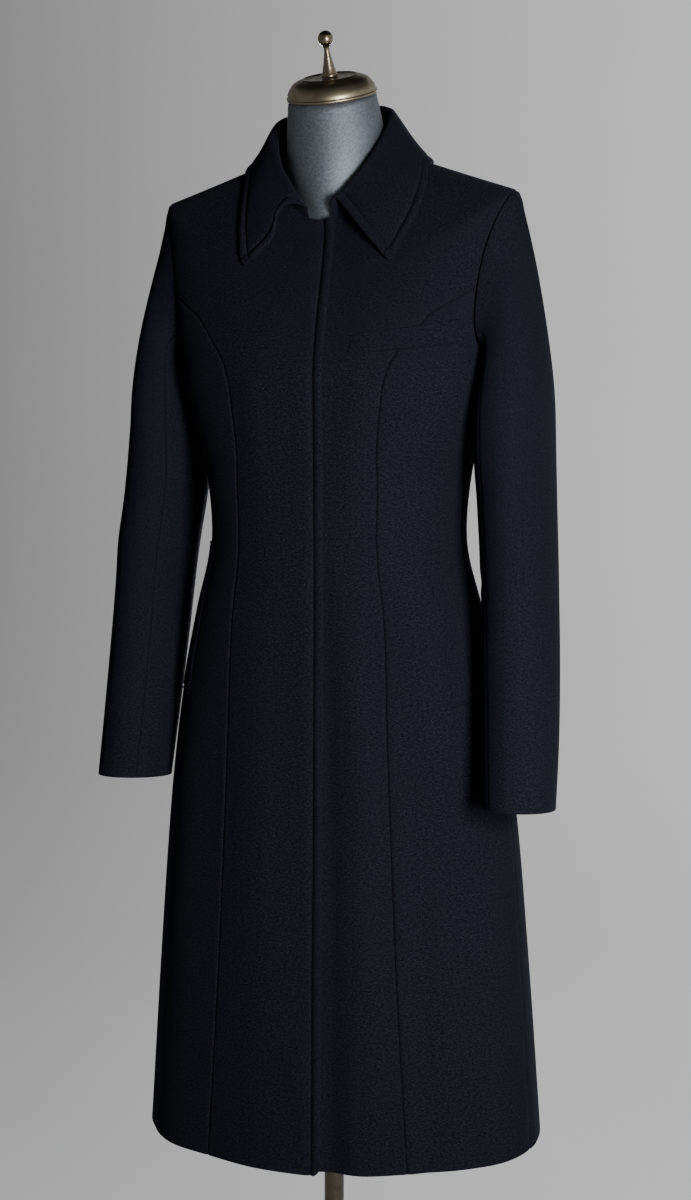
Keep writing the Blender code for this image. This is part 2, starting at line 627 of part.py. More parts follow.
def collar_line(angle, side):
    """Middle line of the collar's cloth, from the neck seam over the fold to the free edge, at an angle
    round the neck on the wearer's left (side 1) or right (side -1)."""
    turn = 180 * (angle - COLLAR_END) / (math.pi - COLLAR_END)
    normal = body_normal(side * angle, NECK)
    up = unit(along_level(side * angle, NECK))
    seam = body_point(side * angle, NECK) - normal * WALL / 2 + up * COLLAR_SEAM_GAP
    roll, free = read(COLLAR_ROLL, turn), read(COLLAR_EDGE, turn)
    crest = np.array((roll.left_x if side > 0 else -roll.right_x, roll.y, roll.z))
    along = math.radians(free.left_angle if side > 0 else -free.right_angle)
    out = body_normal(along, free.level)
    edge = body_point(along, free.level, free.level >= SHOULDER) + out * (COLLAR_LIFT + WALL / 2)
    away = edge - crest
    away[2] = 0.0
    away = unit(away)
    fold = COLLAR_FOLD_RADIUS
    inner = crest - away * fold - np.array((0, 0, fold))
    outer = crest + away * fold - np.array((0, 0, fold))
    belly = (outer + edge) / 2 + unit(out + np.array((0, 0, 0.3))) * free.belly
    middle = (seam + inner) / 2
    return catmull([seam, middle, inner, crest, outer, belly, edge], (1, 1, 1, 2, 2, 2))


def with_bands(lines, bands):
    """Lines of points with more lines added beside the first, at the given distances from it."""
    first, second = lines[0], lines[1]
    length = np.linalg.norm(second - first, axis=1)[:, None]
    added = [first + (second - first) * np.minimum(distance / length, 0.85 * distance / bands[-1])
             for distance in bands]
    return np.concatenate([lines[:1], added, lines[1:]])


def collar():
    stations = [(angle, -1) for angle in collar_stations(RIGHT_FRONT)]
    stations += [(angle, 1) for angle in collar_stations(LEFT_FRONT)[-2::-1]]
    columns = np.array([collar_line(angle, side) for angle, side in stations])
    columns = with_bands(columns, COLLAR_BANDS)
    columns = with_bands(columns[::-1], COLLAR_BANDS)[::-1]
    rows = with_bands(columns.transpose(1, 0, 2)[::-1], COLLAR_BANDS)[::-1]
    normals = grid_normals(rows, closed=False)
    at_seam = [-body_normal(side * angle, NECK) for angle, side in stations]
    beside = len(COLLAR_BANDS)
    normals[0] = [at_seam[0]] * beside + at_seam + [at_seam[-1]] * beside
    dips = np.zeros(rows.shape[:2])
    groove = 1 + COLLAR_BANDS.index(FRONT_BAND)
    dips[-1 - groove, groove:-groove] = GROOVE_DEPTH
    dips[COLLAR_GROOVE_ROW:-groove, [groove, -1 - groove]] = GROOVE_DEPTH
    dips[-1], dips[:, 0], dips[:, -1] = EDGE_ROUND, EDGE_ROUND, EDGE_ROUND
    faces = rows + normals * (WALL / 2 - dips[..., None])
    sheet_solid("collar", faces, rows - normals * WALL / 2, WOOL)


# ---------------------------------------------------------------- pockets

def patch(name, side, angles, low, high, between, columns):
    """A strip of cloth that lies on the body surface, with its edges a little thinner.

    low and high are the levels of its two ends, at its inner and outer edge; between are panel rows."""
    face, back = [], []
    last = len(between) + 1
    for r in range(last + 1):
        face_line, back_line = [], []
        for c in range(columns + 1):
            across = c / columns
            angle = math.radians(angles[0] + (angles[1] - angles[0]) * across)
            ends = (low[0] + (low[1] - low[0]) * across, high[0] + (high[1] - high[0]) * across)
            level = (ends[0], *between, ends[1])[r]
            point, normal = body_point(angle, level), body_normal(angle, level)
            at_edge = r in (0, last) or c in (0, columns)
            rise = POCKET_GAP + (POCKET_WALL * 0.6 if at_edge else POCKET_WALL)
            face_line.append(point + normal * rise)
            back_line.append(point + normal * POCKET_GAP)
        face.append(face_line)
        back.append(back_line)
    if side < 0:
        face, back = mirrored(face), mirrored(back)
    return sheet_solid(name, face, back, WOOL)


def pockets():
    patch("chest_welt", 1, columns=12, **CHEST_WELT)
    patch("left_hip_welt", 1, columns=4, **HIP_WELT)
    patch("right_hip_welt", -1, columns=4, **HIP_WELT)


# ---------------------------------------------------------------- form and stand

def form_angles():
    return [2 * math.pi * k / FORM_SIDES for k in range(FORM_SIDES)]


def form_neck_ring(here):
    points = []
    middle, half_depth = (here.front_y + here.back_y) / 2, (here.front_y - here.back_y) / 2
    for angle in form_angles():
        cosine = math.cos(angle)
        far_z = here.front_z if cosine > 0 else here.back_z
        points.append(np.array((here.half_width * math.sin(angle), middle + half_depth * cosine,
                                here.side_z + (far_z - here.side_z) * cosine ** 2)))
    return points


def form_ring(level):
    points = []
    for angle in form_angles():
        clear = read(FORM_CLEAR, level).clear
        front = min(angle, 2 * math.pi - angle)
        clear += FORM_FRONT_CLEAR * math.exp(-(front / FORM_FRONT_SPREAD) ** 2)
        clear += FORM_SLOPE_CLEAR * abs(math.cos(angle)) ** 0.7 * ease((level - 10.7) / 0.6)
        point = body_point(angle, level, level >= SHOULDER)
        points.append(point - body_normal(angle, level) * (WALL + clear))
    return points


def cap_frame():
    return Matrix.Translation(CAP_CENTRE) @ Matrix.Rotation(CAP_LEAN, 4, "X")


def form_torso():
    """Cover of the trunk: closed flat below, closed over the shoulders and up the neck to the cap."""
    rings = [form_ring(level) for level in FORM_LEVELS]
    floor_z = min(point[2] for point in rings[0])
    for point in rings[0]:
        point[2] = floor_z
    rings += [form_neck_ring(here) for here in FORM_NECK]
    frame = cap_frame()
    rings.append([np.array(frame @ Vector((NECK_TOP_RADIUS * math.sin(angle),
                                           -NECK_TOP_RADIUS * math.cos(angle), -SEAM_GAP)))
                  for angle in form_angles()])
    work = bmesh.new()
    grid = [[work.verts.new(point) for point in line] for line in rings]
    for low, high in zip(grid, grid[1:]):
        for k in range(FORM_SIDES):
            n = (k + 1) % FORM_SIDES
            work.faces.new((low[k], low[n], high[n], high[k]))
    work.faces.new(grid[0][::-1])
    work.faces.new(grid[-1])
    mesh = bpy.data.meshes.new("form_torso")
    work.to_mesh(mesh)
    work.free()
    mesh.shade_smooth()
    mesh.set_sharp_from_angle(angle=math.radians(40))
    return new_object("form_torso", mesh, COVER)


def turned(name, profile, finish, frame=None, steps=28, ring_shape=False):
    """A turned piece: a profile of radius and height, listed down its outer side, spun round Z.

    A ring shape joins its last point to its first."""
    links = [(k, k + 1) for k in range(len(profile) - 1)]
    if ring_shape:
        links.append((len(profile) - 1, 0))
    mesh = bpy.data.meshes.new(name)
    mesh.from_pydata([(radius, 0.0, height) for radius, height in profile], links, [])
    thing = new_object(name, mesh, finish)
    screw = thing.modifiers.new("turn", "SCREW")
    screw.steps = screw.render_steps = steps
    screw.use_merge_vertices = True
    screw.merge_threshold = 0.00001
    screw.use_smooth_shade = True
    if frame is not None:
        thing.matrix_world = frame
    return thing


def arc(centre, radius, start, end, count):
    """Points of an arc in a profile, angles in degrees up from the horizontal."""
    return [(centre[0] + radius * math.cos(math.radians(a)), centre[1] + radius * math.sin(math.radians(a)))
            for a in np.linspace(start, end, count + 1)]


def neck_cap():
    lip = 0.0014
    side = arc((CAP_RADIUS - 0.0215, 0.0035), 0.0172, 62, 0, 4)
    profile = [(0.0, 0.0205), (0.0275, 0.0205), (0.0288, 0.0212), (0.0302, 0.0206)]
    profile += [(x + 0.0031, z) for x, z in side]
    profile += [(CAP_RADIUS, 0.0030), (CAP_RADIUS, lip), (CAP_RADIUS - 0.0006, 0.0), (0.0, 0.0)]
    turned("neck_cap", profile, BRASS, cap_frame())


def finial():
    foot = 0.0205 + SEAM_GAP
    ball_z, ball_radius = foot + 0.0385, 0.0081
    profile = [(0.0, ball_z + ball_radius)] + arc((0.0, ball_z), ball_radius, 70, -42, 6)
    profile += [(0.0044, foot + 0.0312), (0.0032, foot + 0.0285), (0.0029, foot + 0.0262),
                (0.0032, foot + 0.0240), (0.0052, foot + 0.0135), (0.0076, foot + 0.0035),
                (0.0086, foot + 0.0010), (0.0086, foot), (0.0, foot)]
    turned("finial", profile, BRASS, cap_frame(), steps=14)


def stand():
    under = min(vertex.co.z for vertex in bpy.data.objects["form_torso"].data.vertices)
    pole_top = under - SEAM_GAP
    hub_low = pole_top - HUB_HEIGHT
    bore = POLE_RADIUS + SEAM_GAP
    turned("pole", [(0.0, pole_top), (POLE_RADIUS, pole_top), (POLE_RADIUS, SOCKET_FLOOR + SEAM_GAP),
                    (0.0, SOCKET_FLOOR + SEAM_GAP)], STEEL, steps=24)
    turned("pole_hub", [(bore, pole_top), (HUB_RADIUS, pole_top), (HUB_RADIUS, pole_top - 0.004),
                        (0.0185, pole_top - 0.009), (0.0165, hub_low + 0.002), (0.0150, hub_low),
                        (bore, hub_low)], STEEL, steps=20, ring_shape=True)
    rim = arc((BASE_RADIUS - 0.006, 0.006), 0.006, 70, -90, 4)
    profile = [(0.0, SOCKET_FLOOR), (bore, SOCKET_FLOOR), (bore, SOCKET_TOP),
               (SOCKET_RADIUS - 0.002, SOCKET_TOP), (SOCKET_RADIUS, SOCKET_TOP - 0.002),
               (SOCKET_RADIUS, BASE_HEIGHT + 0.010), (SOCKET_RADIUS + 0.006, BASE_HEIGHT + 0.002),
               (0.060, BASE_HEIGHT - 0.004), (0.120, BASE_HEIGHT - 0.011), (0.165, BASE_HEIGHT - 0.0165)]
    profile += rim + [(0.0, 0.0)]
    turned("base", profile, IRON, steps=30)


# ---------------------------------------------------------------- build

def make_finish(name):
    colour, roughness, metallic = COLOURS[name]
    finish = bpy.data.materials.new(name)
    finish.use_nodes = True
    shader = finish.node_tree.nodes["Principled BSDF"]
    shader.inputs["Base Color"].default_value = (*colour, 1.0)
    shader.inputs["Roughness"].default_value = roughness
    shader.inputs["Metallic"].default_value = metallic
    return finish


for old in list(bpy.data.objects):
    bpy.data.objects.remove(old)
COAT = bpy.data.collections.new("overcoat_on_form")
bpy.context.scene.collection.children.link(COAT)
WOOL, COVER, BRASS, STEEL, IRON = (make_finish(name) for name in COLOURS)

fronts()
side_fronts()
backs()
sleeve(LEFT_SLEEVE, "left")
sleeve(RIGHT_SLEEVE, "right")
collar()
pockets()
form_torso()
neck_cap()
finial()
stand()
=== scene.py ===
"""Looks of a long wool overcoat on a limbless dress form and its stand, made around the solid model.

Metres, +Z up. The coat's front faces -Y and its wearer's left is +X.

Every piece of cloth is a grid of points on its pattern piece, offset to a face and a back and closed
round its rim. The trunk's pieces lie on one body surface, read by an angle round the trunk (0 is the
centre front, 90 degrees the wearer's left side) and a level up it (0 is the hem, 14 the neck).
"""

import math
from collections import namedtuple

import bpy
import numpy as np
from bpy.props import FloatProperty, FloatVectorProperty, PointerProperty
from mathutils import Matrix, Vector


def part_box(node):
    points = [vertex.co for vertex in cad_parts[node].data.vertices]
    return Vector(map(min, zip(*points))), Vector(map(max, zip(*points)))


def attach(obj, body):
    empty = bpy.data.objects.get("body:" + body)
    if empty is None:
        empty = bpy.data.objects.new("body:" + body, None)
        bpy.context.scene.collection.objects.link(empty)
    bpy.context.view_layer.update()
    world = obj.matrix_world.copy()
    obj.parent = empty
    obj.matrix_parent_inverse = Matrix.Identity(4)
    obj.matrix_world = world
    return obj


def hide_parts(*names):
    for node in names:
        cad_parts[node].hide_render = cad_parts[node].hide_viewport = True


bl_info = {
    "name": "Wool overcoat on a dress form",
    "version": (1, 0, 0),
    "blender": (4, 5, 0),
    "location": "3D View > Sidebar > Overcoat",
    "description": "Makes the cloth, sewing, form and stand of a long wool overcoat",
    "category": "Add Mesh",
}

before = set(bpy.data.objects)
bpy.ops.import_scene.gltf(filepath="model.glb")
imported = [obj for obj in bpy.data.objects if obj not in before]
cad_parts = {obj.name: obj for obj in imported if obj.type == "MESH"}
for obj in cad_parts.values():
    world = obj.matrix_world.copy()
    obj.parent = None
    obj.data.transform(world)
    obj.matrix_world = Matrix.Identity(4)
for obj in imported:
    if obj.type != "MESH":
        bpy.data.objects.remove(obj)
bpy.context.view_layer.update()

# ---------------------------------------------------------------- pattern of the coat

POLE_BEHIND = 0.0185        # the trunk's middle lies this far behind the pole
WALL = 0.0026               # thickness of the cloth
HEM_TILT = 0.0115           # the hem hangs this much lower at the wearer's right side than in front
RIGHT_FRONT_DROP = 0.0040   # the upper front's edge hangs a little below the under one
CORNER_RADIUS = 0.0100      # lower corner of the front edge
FRONT_BAND = 0.0110         # topstitching lies this far inside the front edge
COLLAR_BAND = 0.0095        # and this far inside the collar's edge

# Rings of the body surface from the hem up. Angles 0, 90 and 180 have their own heights; the last value
# is how much fuller the ring is than an ellipse at 45 degrees.
RINGS = np.array((
    # side_z front_z back_z half_width front_depth back_depth square
    (0.2915, 0.2915, 0.2915, 0.2285, 0.130, 0.164, 0.00),    # hem
    (0.4700, 0.4700, 0.4700, 0.2150, 0.126, 0.156, 0.00),    # calf
    (0.6220, 0.6220, 0.6220, 0.2015, 0.122, 0.148, 0.01),    # knee
    (0.7200, 0.7200, 0.7200, 0.1905, 0.120, 0.141, 0.02),    # low hip
    (0.8080, 0.8080, 0.8080, 0.1765, 0.119, 0.133, 0.03),    # hip
    (0.8850, 0.8850, 0.8850, 0.1585, 0.118, 0.126, 0.04),    # high hip
    (0.9600, 0.9600, 0.9600, 0.1395, 0.118, 0.120, 0.05),    # waist
    (1.0420, 1.0420, 1.0420, 0.1455, 0.118, 0.120, 0.06),    # rib
    (1.1100, 1.1100, 1.1100, 0.1645, 0.119, 0.117, 0.07),    # bust
    (1.1550, 1.1500, 1.1520, 0.1735, 0.117, 0.115, 0.07),    # armpit
    (1.2400, 1.1950, 1.2150, 0.1880, 0.105, 0.110, 0.06),    # chest
    (1.3290, 1.2450, 1.2850, 0.1970, 0.086, 0.094, 0.04),    # shoulder
    (1.3445, 1.2700, 1.3300, 0.1500, 0.075, 0.082, 0.02),    # under the collar
    (1.3600, 1.2870, 1.3620, 0.1050, 0.066, 0.068, 0.00),    # nape
    (1.3735, 1.3000, 1.3830, 0.0680, 0.061, 0.058, 0.00),    # neck
))
KNEE, ARMPIT, SHOULDER, NECK = 2, 9, 11, 14

ARMHOLE_FRONT, ARMHOLE_BACK = math.radians(30.5), math.radians(29.0)
ARMHOLE_POWER = 2.5         # 2 is an ellipse, more is squarer
ARMHOLE_MIDDLE, ARMHOLE_HALF = (SHOULDER + ARMPIT) / 2, (SHOULDER - ARMPIT) / 2
PRINCESS_TOP = ARMHOLE_MIDDLE   # level at which the front's princess seam runs into the armhole
SIDE_FRONT_TIP = PRINCESS_TOP - 0.003
PRINCESS_SEAM = np.array((  # level, angle in degrees
    (0.0, 30.3), (1.1, 28.7), (2.1, 28.2), (3.2, 28.4), (4.0, 29.4), (5.1, 31.5), (6.5, 32.0),
    (7.4, 29.4), (8.15, 28.5), (8.6, 29.1), (8.97, 30.3), (9.2, 32.4), (9.46, 35.7), (9.68, 39.0),
    (9.82, 43.0), (PRINCESS_TOP, 59.5),
))
SIDE_SEAM = np.array(((0.0, 82.0), (1.0, 84.5), (2.0, 88.0), (4.0, 90.0), (9.0, 90.0)))
OVERLAP = np.array((        # level, x of the upper front's edge, x of the under front's edge
    (0.0, 0.0230, -0.030), (9.0, 0.0225, -0.030), (11.6, 0.0200, -0.024), (14.0, 0.0140, -0.012),
))
UNDER_GAP = 0.0007          # the under front lies this far behind the upper one's back
UNDER_FADE = 0.045          # and comes back to the surface over this width

SleeveRing = namedtuple("SleeveRing", "z x y half_side half_fore tilt")
LEFT_SLEEVE = (
    SleeveRing(1.090, 0.2005, 0.0130, 0.0375, 0.0740, 0.0),     # bicep
    SleeveRing(1.030, 0.1998, 0.0150, 0.0400, 0.0720, 1.0),
    SleeveRing(0.944, 0.2050, 0.0085, 0.0395, 0.0680, 3.0),     # elbow
    SleeveRing(0.850, 0.2120, -0.0120, 0.0404, 0.0620, 6.0),
    SleeveRing(0.765, 0.2182, -0.0340, 0.0395, 0.0580, 7.0),
    SleeveRing(0.6915, 0.2225, -0.0530, 0.0368, 0.0550, 7.0),   # cuff
)
RIGHT_SLEEVE = (
    SleeveRing(1.090, 0.1985, 0.0130, 0.0355, 0.0740, 0.0),     # bicep
    SleeveRing(1.030, 0.2030, 0.0150, 0.0400, 0.0720, 1.0),
    SleeveRing(0.944, 0.2130, 0.0085, 0.0388, 0.0680, 3.0),     # elbow
    SleeveRing(0.850, 0.2170, -0.0080, 0.0385, 0.0620, 6.0),
    SleeveRing(0.767, 0.2205, -0.0240, 0.0378, 0.0580, 7.0),
    SleeveRing(0.695, 0.2230, -0.0400, 0.0370, 0.0550, 7.0),    # cuff
)
# How the sleeve leaves the armhole, by angle round it from the top over the front: fold is the angle
# that it breaks away from the body by, reach and rise are the lengths of the curve's two handles, and gap
# lies between the armhole's line and the sleeve's edge
SLEEVE_HEAD = np.array((    # around, fold, reach, rise, gap
    (0.0, 4.0, 0.020, 0.110, 0.0012), (36.0, 11.0, 0.030, 0.090, 0.0008), (90.0, 38.0, 0.034, 0.060, 0.0004),
    (135.0, 70.0, 0.020, 0.035, 0.0004), (180.0, 95.0, 0.012, 0.030, 0.0004),
    (225.0, 66.0, 0.020, 0.035, 0.0004), (270.0, 34.0, 0.034, 0.060, 0.0004),
    (324.0, 10.0, 0.030, 0.090, 0.0008), (360.0, 4.0, 0.020, 0.110, 0.0012),
))
SLEEVE_GUIDES = 20          # guide lines round the sleeve head
SLEEVE_FULLNESS = 0.13      # fuller by this share where it hangs over the front of the underarm
FULL_AT, FULL_SPREAD = 143, 34.0            # that place and how far it spreads, in degrees from the top
FORE_SEAM, HIND_SEAM = 7 / 20, 14 / 20      # the two-piece sleeve's seams, as shares of the way round

COLLAR_END_X = 0.0125
COLLAR_ROLL = np.array((    # crest of the fold, by angle round the neck: left x, right x, y, z
    (0.0, 0.0190, 0.0190, -0.0520, 1.3210), (20.0, 0.0290, 0.0290, -0.0460, 1.3290),
    (50.0, 0.0530, 0.0550, -0.0260, 1.3650), (90.0, 0.0615, 0.0700, 0.0130, 1.4070),
    (130.0, 0.0410, 0.0500, 0.0560, 1.4270), (180.0, 0.0, 0.0, 0.0770, 1.4320),
    (230.0, -0.0500, -0.0410, 0.0560, 1.4270),
))
COLLAR_EDGE = np.array((    # free edge on the body surface: left and right angle, level, bow of the fall
    (0.0, 24.7, 22.4, 10.86, 0.005), (9.0, 28.4, 25.2, 11.15, 0.005),
    (22.0, 34.0, 29.0, 11.52, 0.004), (37.0, 47.0, 37.5, 12.12, 0.003),
    (55.0, 62.0, 48.5, 12.60, 0.001), (78.0, 77.0, 66.0, 12.95, -0.002),
    (105.0, 100.0, 92.0, 13.05, -0.002), (140.0, 135.0, 132.0, 13.00, 0.0),
    (180.0, 180.0, 180.0, 12.90, 0.002), (220.0, 228.0, 225.0, 13.00, 0.0),
))
COLLAR_FOLD_RADIUS = 0.0045
# The collar's right and left front end, where it springs open: the fold's radius, how far the front edge
# bows down, and how much of the shifts below the fold takes
COLLAR_END_FOLD = (0.0080, 0.0052)
COLLAR_END_SAG = (0.0066, 0.0010)
COLLAR_END_LEAN = (1.0, 0.12)
COLLAR_END_SHIFTS = ((0.0015, -0.0010), (0.0100, -0.0046), (0.0148, -0.0056))   # x and z: inner, crest, outer
COLLAR_END_SPREAD = 16.0    # how far round the neck the ends reach, in degrees
COLLAR_ROWS, COLLAR_COLUMNS = 121, 150
COLLAR_ROW_PITCH, COLLAR_COLUMN_PITCH = 0.0030, 0.0038
COLLAR_LIFT = 0.0014        # its underside stands this far off the fronts at the edge
COLLAR_TIP_RADIUS = 0.0060

POCKET_GAP, POCKET_WALL = 0.0005, 0.0018
CHEST_WELT = {"angles": (15.5, 54.5), "low": (9.15, 9.24), "high": (9.60, 9.60)}
HIP_WELT = {"angles": (53.8, 66.6), "low": (3.80, 3.85), "high": (5.94, 6.00)}

# Soft ridges (rise above 0) and troughs in the hung cloth, each along a line between two places on the
# body surface: angle in degrees to the wearer's left, level, half width and rise in metres
Fold = namedtuple("Fold", "low_level low_angle high_level high_angle width rise")
BODY_FOLDS = (
    Fold(-0.6, 18.5, 6.2, 17.5, 0.021, 0.0040),      # left front, beside the overlap
    Fold(-0.6, 9.0, 7.6, 8.0, 0.009, -0.0020),       # shade line under the upper front's edge
    Fold(-0.4, -15.0, 5.6, -17.0, 0.032, 0.0030),    # right front
    Fold(2.0, 47.0, 6.4, 45.0, 0.028, 0.0030),       # left side front, over the hip
    Fold(-0.6, 37.0, 3.8, 36.5, 0.016, -0.0026),
    Fold(-0.6, 64.0, 2.8, 61.0, 0.026, 0.0032),
    Fold(-0.6, -46.0, 4.4, -48.0, 0.026, 0.0032),
    Fold(-0.6, -68.0, 2.4, -66.0, 0.018, -0.0020),
    Fold(6.8, 44.0, 8.8, 42.0, 0.024, 0.0018),
    Fold(6.4, -19.0, 9.0, -17.0, 0.026, 0.0024),
    Fold(5.8, 19.0, 8.6, 22.0, 0.022, 0.0014),
    Fold(-0.6, 112.0, 3.6, 110.0, 0.030, 0.0034),    # back
    Fold(-0.6, 137.0, 4.4, 141.0, 0.022, -0.0028),
    Fold(-0.6, 160.0, 5.0, 162.0, 0.026, 0.0030),
    Fold(-0.6, -118.0, 4.0, -113.0, 0.028, 0.0036),
    Fold(-0.6, -146.0, 3.4, -143.0, 0.020, -0.0024),
    Fold(-0.6, -164.0, 4.6, -166.0, 0.024, 0.0026),
    Fold(6.2, 150.0, 8.4, 136.0, 0.018, -0.0014),
    Fold(6.4, -148.0, 8.8, -138.0, 0.020, -0.0016),
)

# ---------------------------------------------------------------- finish of the meshes

ROW_PITCH = 0.0055          # spacing of the cloth's rows and columns away from its edges
COLUMN_PITCH = 0.0050
EDGE_STEPS = np.array((0.0, 0.07, 0.25, 0.55, 1.0)) * WALL / 2    # rounding of an edge, by distance from it
PRESS_STEPS = np.array((0.0021, 0.0032, 0.0050, 0.0080))
OPEN_STEPS = np.concatenate([EDGE_STEPS, (0.0024, 0.0042)])       # at an edge with nothing sewn to it
ARMHOLE_ROWS = 96
TUBE_ROUND = 176            # columns round a whole sleeve
TURN_STEPS = 96             # round a turned piece

SEWING_LINES = {}           # name to points, filled by the pieces that carry topstitching


def unit(vectors):
    return vectors / np.maximum(np.linalg.norm(vectors, axis=-1, keepdims=True), 1e-12)


def ease(share):
    share = np.clip(share, 0.0, 1.0)
    return share * share * (3 - 2 * share)


def bell(distance, width):
    return np.exp(-(distance / width) ** 2)


def through(places, rows, at):
    """Values at some places between rows, on a smooth curve through the rows."""
    places, rows = np.asarray(places, float), np.asarray(rows, float)
    at = np.clip(np.asarray(at, float), places[0], places[-1])
    index = np.clip(np.searchsorted(places, at, side="right") - 1, 0, len(places) - 2)
    low, high = np.maximum(np.arange(len(places)) - 1, 0), np.minimum(np.arange(len(places)) + 1, len(places) - 1)
    spread = (places[high] - places[low]).reshape(-1, *[1] * (rows.ndim - 1))
    slopes = (rows[high] - rows[low]) / spread
    shape = at.shape + (1,) * (rows.ndim - 1)
    span = (places[index + 1] - places[index]).reshape(shape)
    t = (at - places[index]).reshape(shape) / span
    return (rows[index] * (2 * t ** 3 - 3 * t ** 2 + 1) + slopes[index] * span * (t ** 3 - 2 * t ** 2 + t)
            + rows[index + 1] * (3 * t ** 2 - 2 * t ** 3) + slopes[index + 1] * span * (t ** 3 - t ** 2))


def table(rows, place):
    """Columns of a table, without its first, at places in its first column."""
    return np.moveaxis(through(rows[:, 0], rows[:, 1:], place), -1, 0)


def round_through(rows, count):
    """A closed line of guide rows again, with count points, on a smooth curve through them."""
    guides = len(rows)
    wrapped = np.concatenate([rows[-3:], rows, rows[:3]])
    return through(np.arange(-3, guides + 3), wrapped, np.arange(count) * guides / count)


# ---------------------------------------------------------------- body surface

SHOULDER_EASE, SHOULDER_SPREAD = 0.30, 0.55     # levels that the break is eased over, and how far round it
SLOPE_STEP = 1e-3           # radians and levels to each side of a place for its slopes
# when a fold fades, as a share of its length: at its low and its high end, and at the top of one that
# starts below the hem
FOLD_START, FOLD_STOP, FOLD_FROM_HEM = 0.25, 0.35, 0.45


def body(angle, level):
    """Points of the body surface, with the break at the shoulder's ring eased as cloth eases it."""
    angle, level = np.broadcast_arrays(np.asarray(angle, float), np.asarray(level, float))
    step = SHOULDER_EASE * bell(level - SHOULDER, SHOULDER_SPREAD) * np.abs(np.cos(angle))
    return sum(share * hard_body(angle, level + way * step)
               for way, share in ((-1, 0.12), (-0.5, 0.23), (0, 0.30), (0.5, 0.23), (1, 0.12)))


def hard_body(angle, level):
    trunk = through(np.arange(SHOULDER + 1), RINGS[:SHOULDER + 1], level)
    top = through(np.arange(SHOULDER, NECK + 1), RINGS[SHOULDER:], level)
    ring = np.where((level >= SHOULDER)[..., None], top, trunk)
    side_z, front_z, back_z, half_width, front, back, square = np.moveaxis(ring, -1, 0)
    sine, cosine = np.sin(angle), np.cos(angle)
    full = 1 + square * np.sin(2 * angle) ** 2
    depth, far_z = np.where(cosine > 0, front, back), np.where(cosine > 0, front_z, back_z)
    return np.stack((half_width * sine * full, POLE_BEHIND - depth * cosine * full,
                     side_z + (far_z - side_z) * cosine ** 2), -1)


def body_slopes(angle, level):
    """Change of the surface's points by angle and by level."""
    angle, level = np.broadcast_arrays(np.asarray(angle, float), np.asarray(level, float))
    low, high = np.maximum(level - SLOPE_STEP, 0), np.minimum(level + SLOPE_STEP, NECK)
    by_angle = (body(angle + SLOPE_STEP, level) - body(angle - SLOPE_STEP, level)) / (2 * SLOPE_STEP)
    by_level = (body(angle, high) - body(angle, low)) / (high - low)[..., None]
    return by_angle, by_level


def body_normal(angle, level):
    return unit(np.cross(*body_slopes(angle, level)))


def armhole_share(level):
    height = np.clip(np.abs(level - ARMHOLE_MIDDLE) / ARMHOLE_HALF, 0, 1)
    return np.clip(1 - height ** ARMHOLE_POWER, 0, 1) ** (1 / ARMHOLE_POWER)


def armhole_angle(level, side):
    """Angle of the armhole at a level, on its front (side 1) or back (side -1)."""
    return math.pi / 2 - side * (ARMHOLE_FRONT if side > 0 else ARMHOLE_BACK) * armhole_share(level)


def princess_angle(level):
    return np.radians(table(PRINCESS_SEAM, level)[0])


def side_angle(level):
    return np.radians(table(SIDE_SEAM, level)[0])


def front_outer(level):
    """Outer edge of a front: princess seam, then armhole, then shoulder seam."""
    upper = np.where(level < SHOULDER, armhole_angle(level, 1), math.pi / 2)
    return np.where(level < PRINCESS_TOP, princess_angle(level), upper)


def back_outer(level):
    upper = np.where(level < SHOULDER, armhole_angle(level, -1), math.pi / 2)
    return np.where(level <= ARMPIT, side_angle(level), upper)


def side_outer(level):
    return np.where(level <= ARMPIT, side_angle(level), armhole_angle(level, 1))


def front_edge(column):
    """Edge of a front by level, from a column of the overlap's table."""
    def angle(level):
        half_width = body(math.pi / 2, level)[..., 0]
        return np.arcsin(table(OVERLAP, level)[column] / half_width)
    return angle


def folds(angle, level):
    """Rise of the hung cloth's soft ridges and troughs at places on the body surface."""
    strength = bpy.context.scene.coat_cloth.fold_strength
    reach = np.linalg.norm(body_slopes(angle, level)[0], axis=-1)
    total = np.zeros(np.broadcast(angle, level).shape)
    for fold in BODY_FOLDS:
        share = (level - fold.low_level) / (fold.high_level - fold.low_level)
        line = np.radians(fold.low_angle + (fold.high_angle - fold.low_angle) * share)
        turn = (angle - line + math.pi) % (2 * math.pi) - math.pi
        fade = ease(share / FOLD_START) * ease((1 - share) / FOLD_STOP)
        if fold.low_level < 0:
            fade = ease((1 - share) / FOLD_FROM_HEM)
        total += fold.rise * bell(turn * reach, fold.width * (1.25 - 0.4 * share)) * fade
    return total * strength


def hang(points):
    """The skirt is lower at the wearer's right than at the left."""
    hem_z, knee_z, half_width = RINGS[0, 0], RINGS[KNEE, 0], RINGS[0, 3]
    share = np.clip((knee_z - points[..., 2]) / (knee_z - hem_z), 0, 1)
    points[..., 2] += HEM_TILT * points[..., 0] / half_width * share ** 2 * (3 - 2 * share)
    return points


# ---------------------------------------------------------------- cloth from grids of points

def round_edge(distance, radius=WALL / 2):
    """How far a face falls towards the middle of its cloth at a distance from a rounded edge."""
    inside = radius - np.minimum(distance, radius)
    return radius - np.sqrt(np.maximum(radius ** 2 - inside ** 2, 0.0))


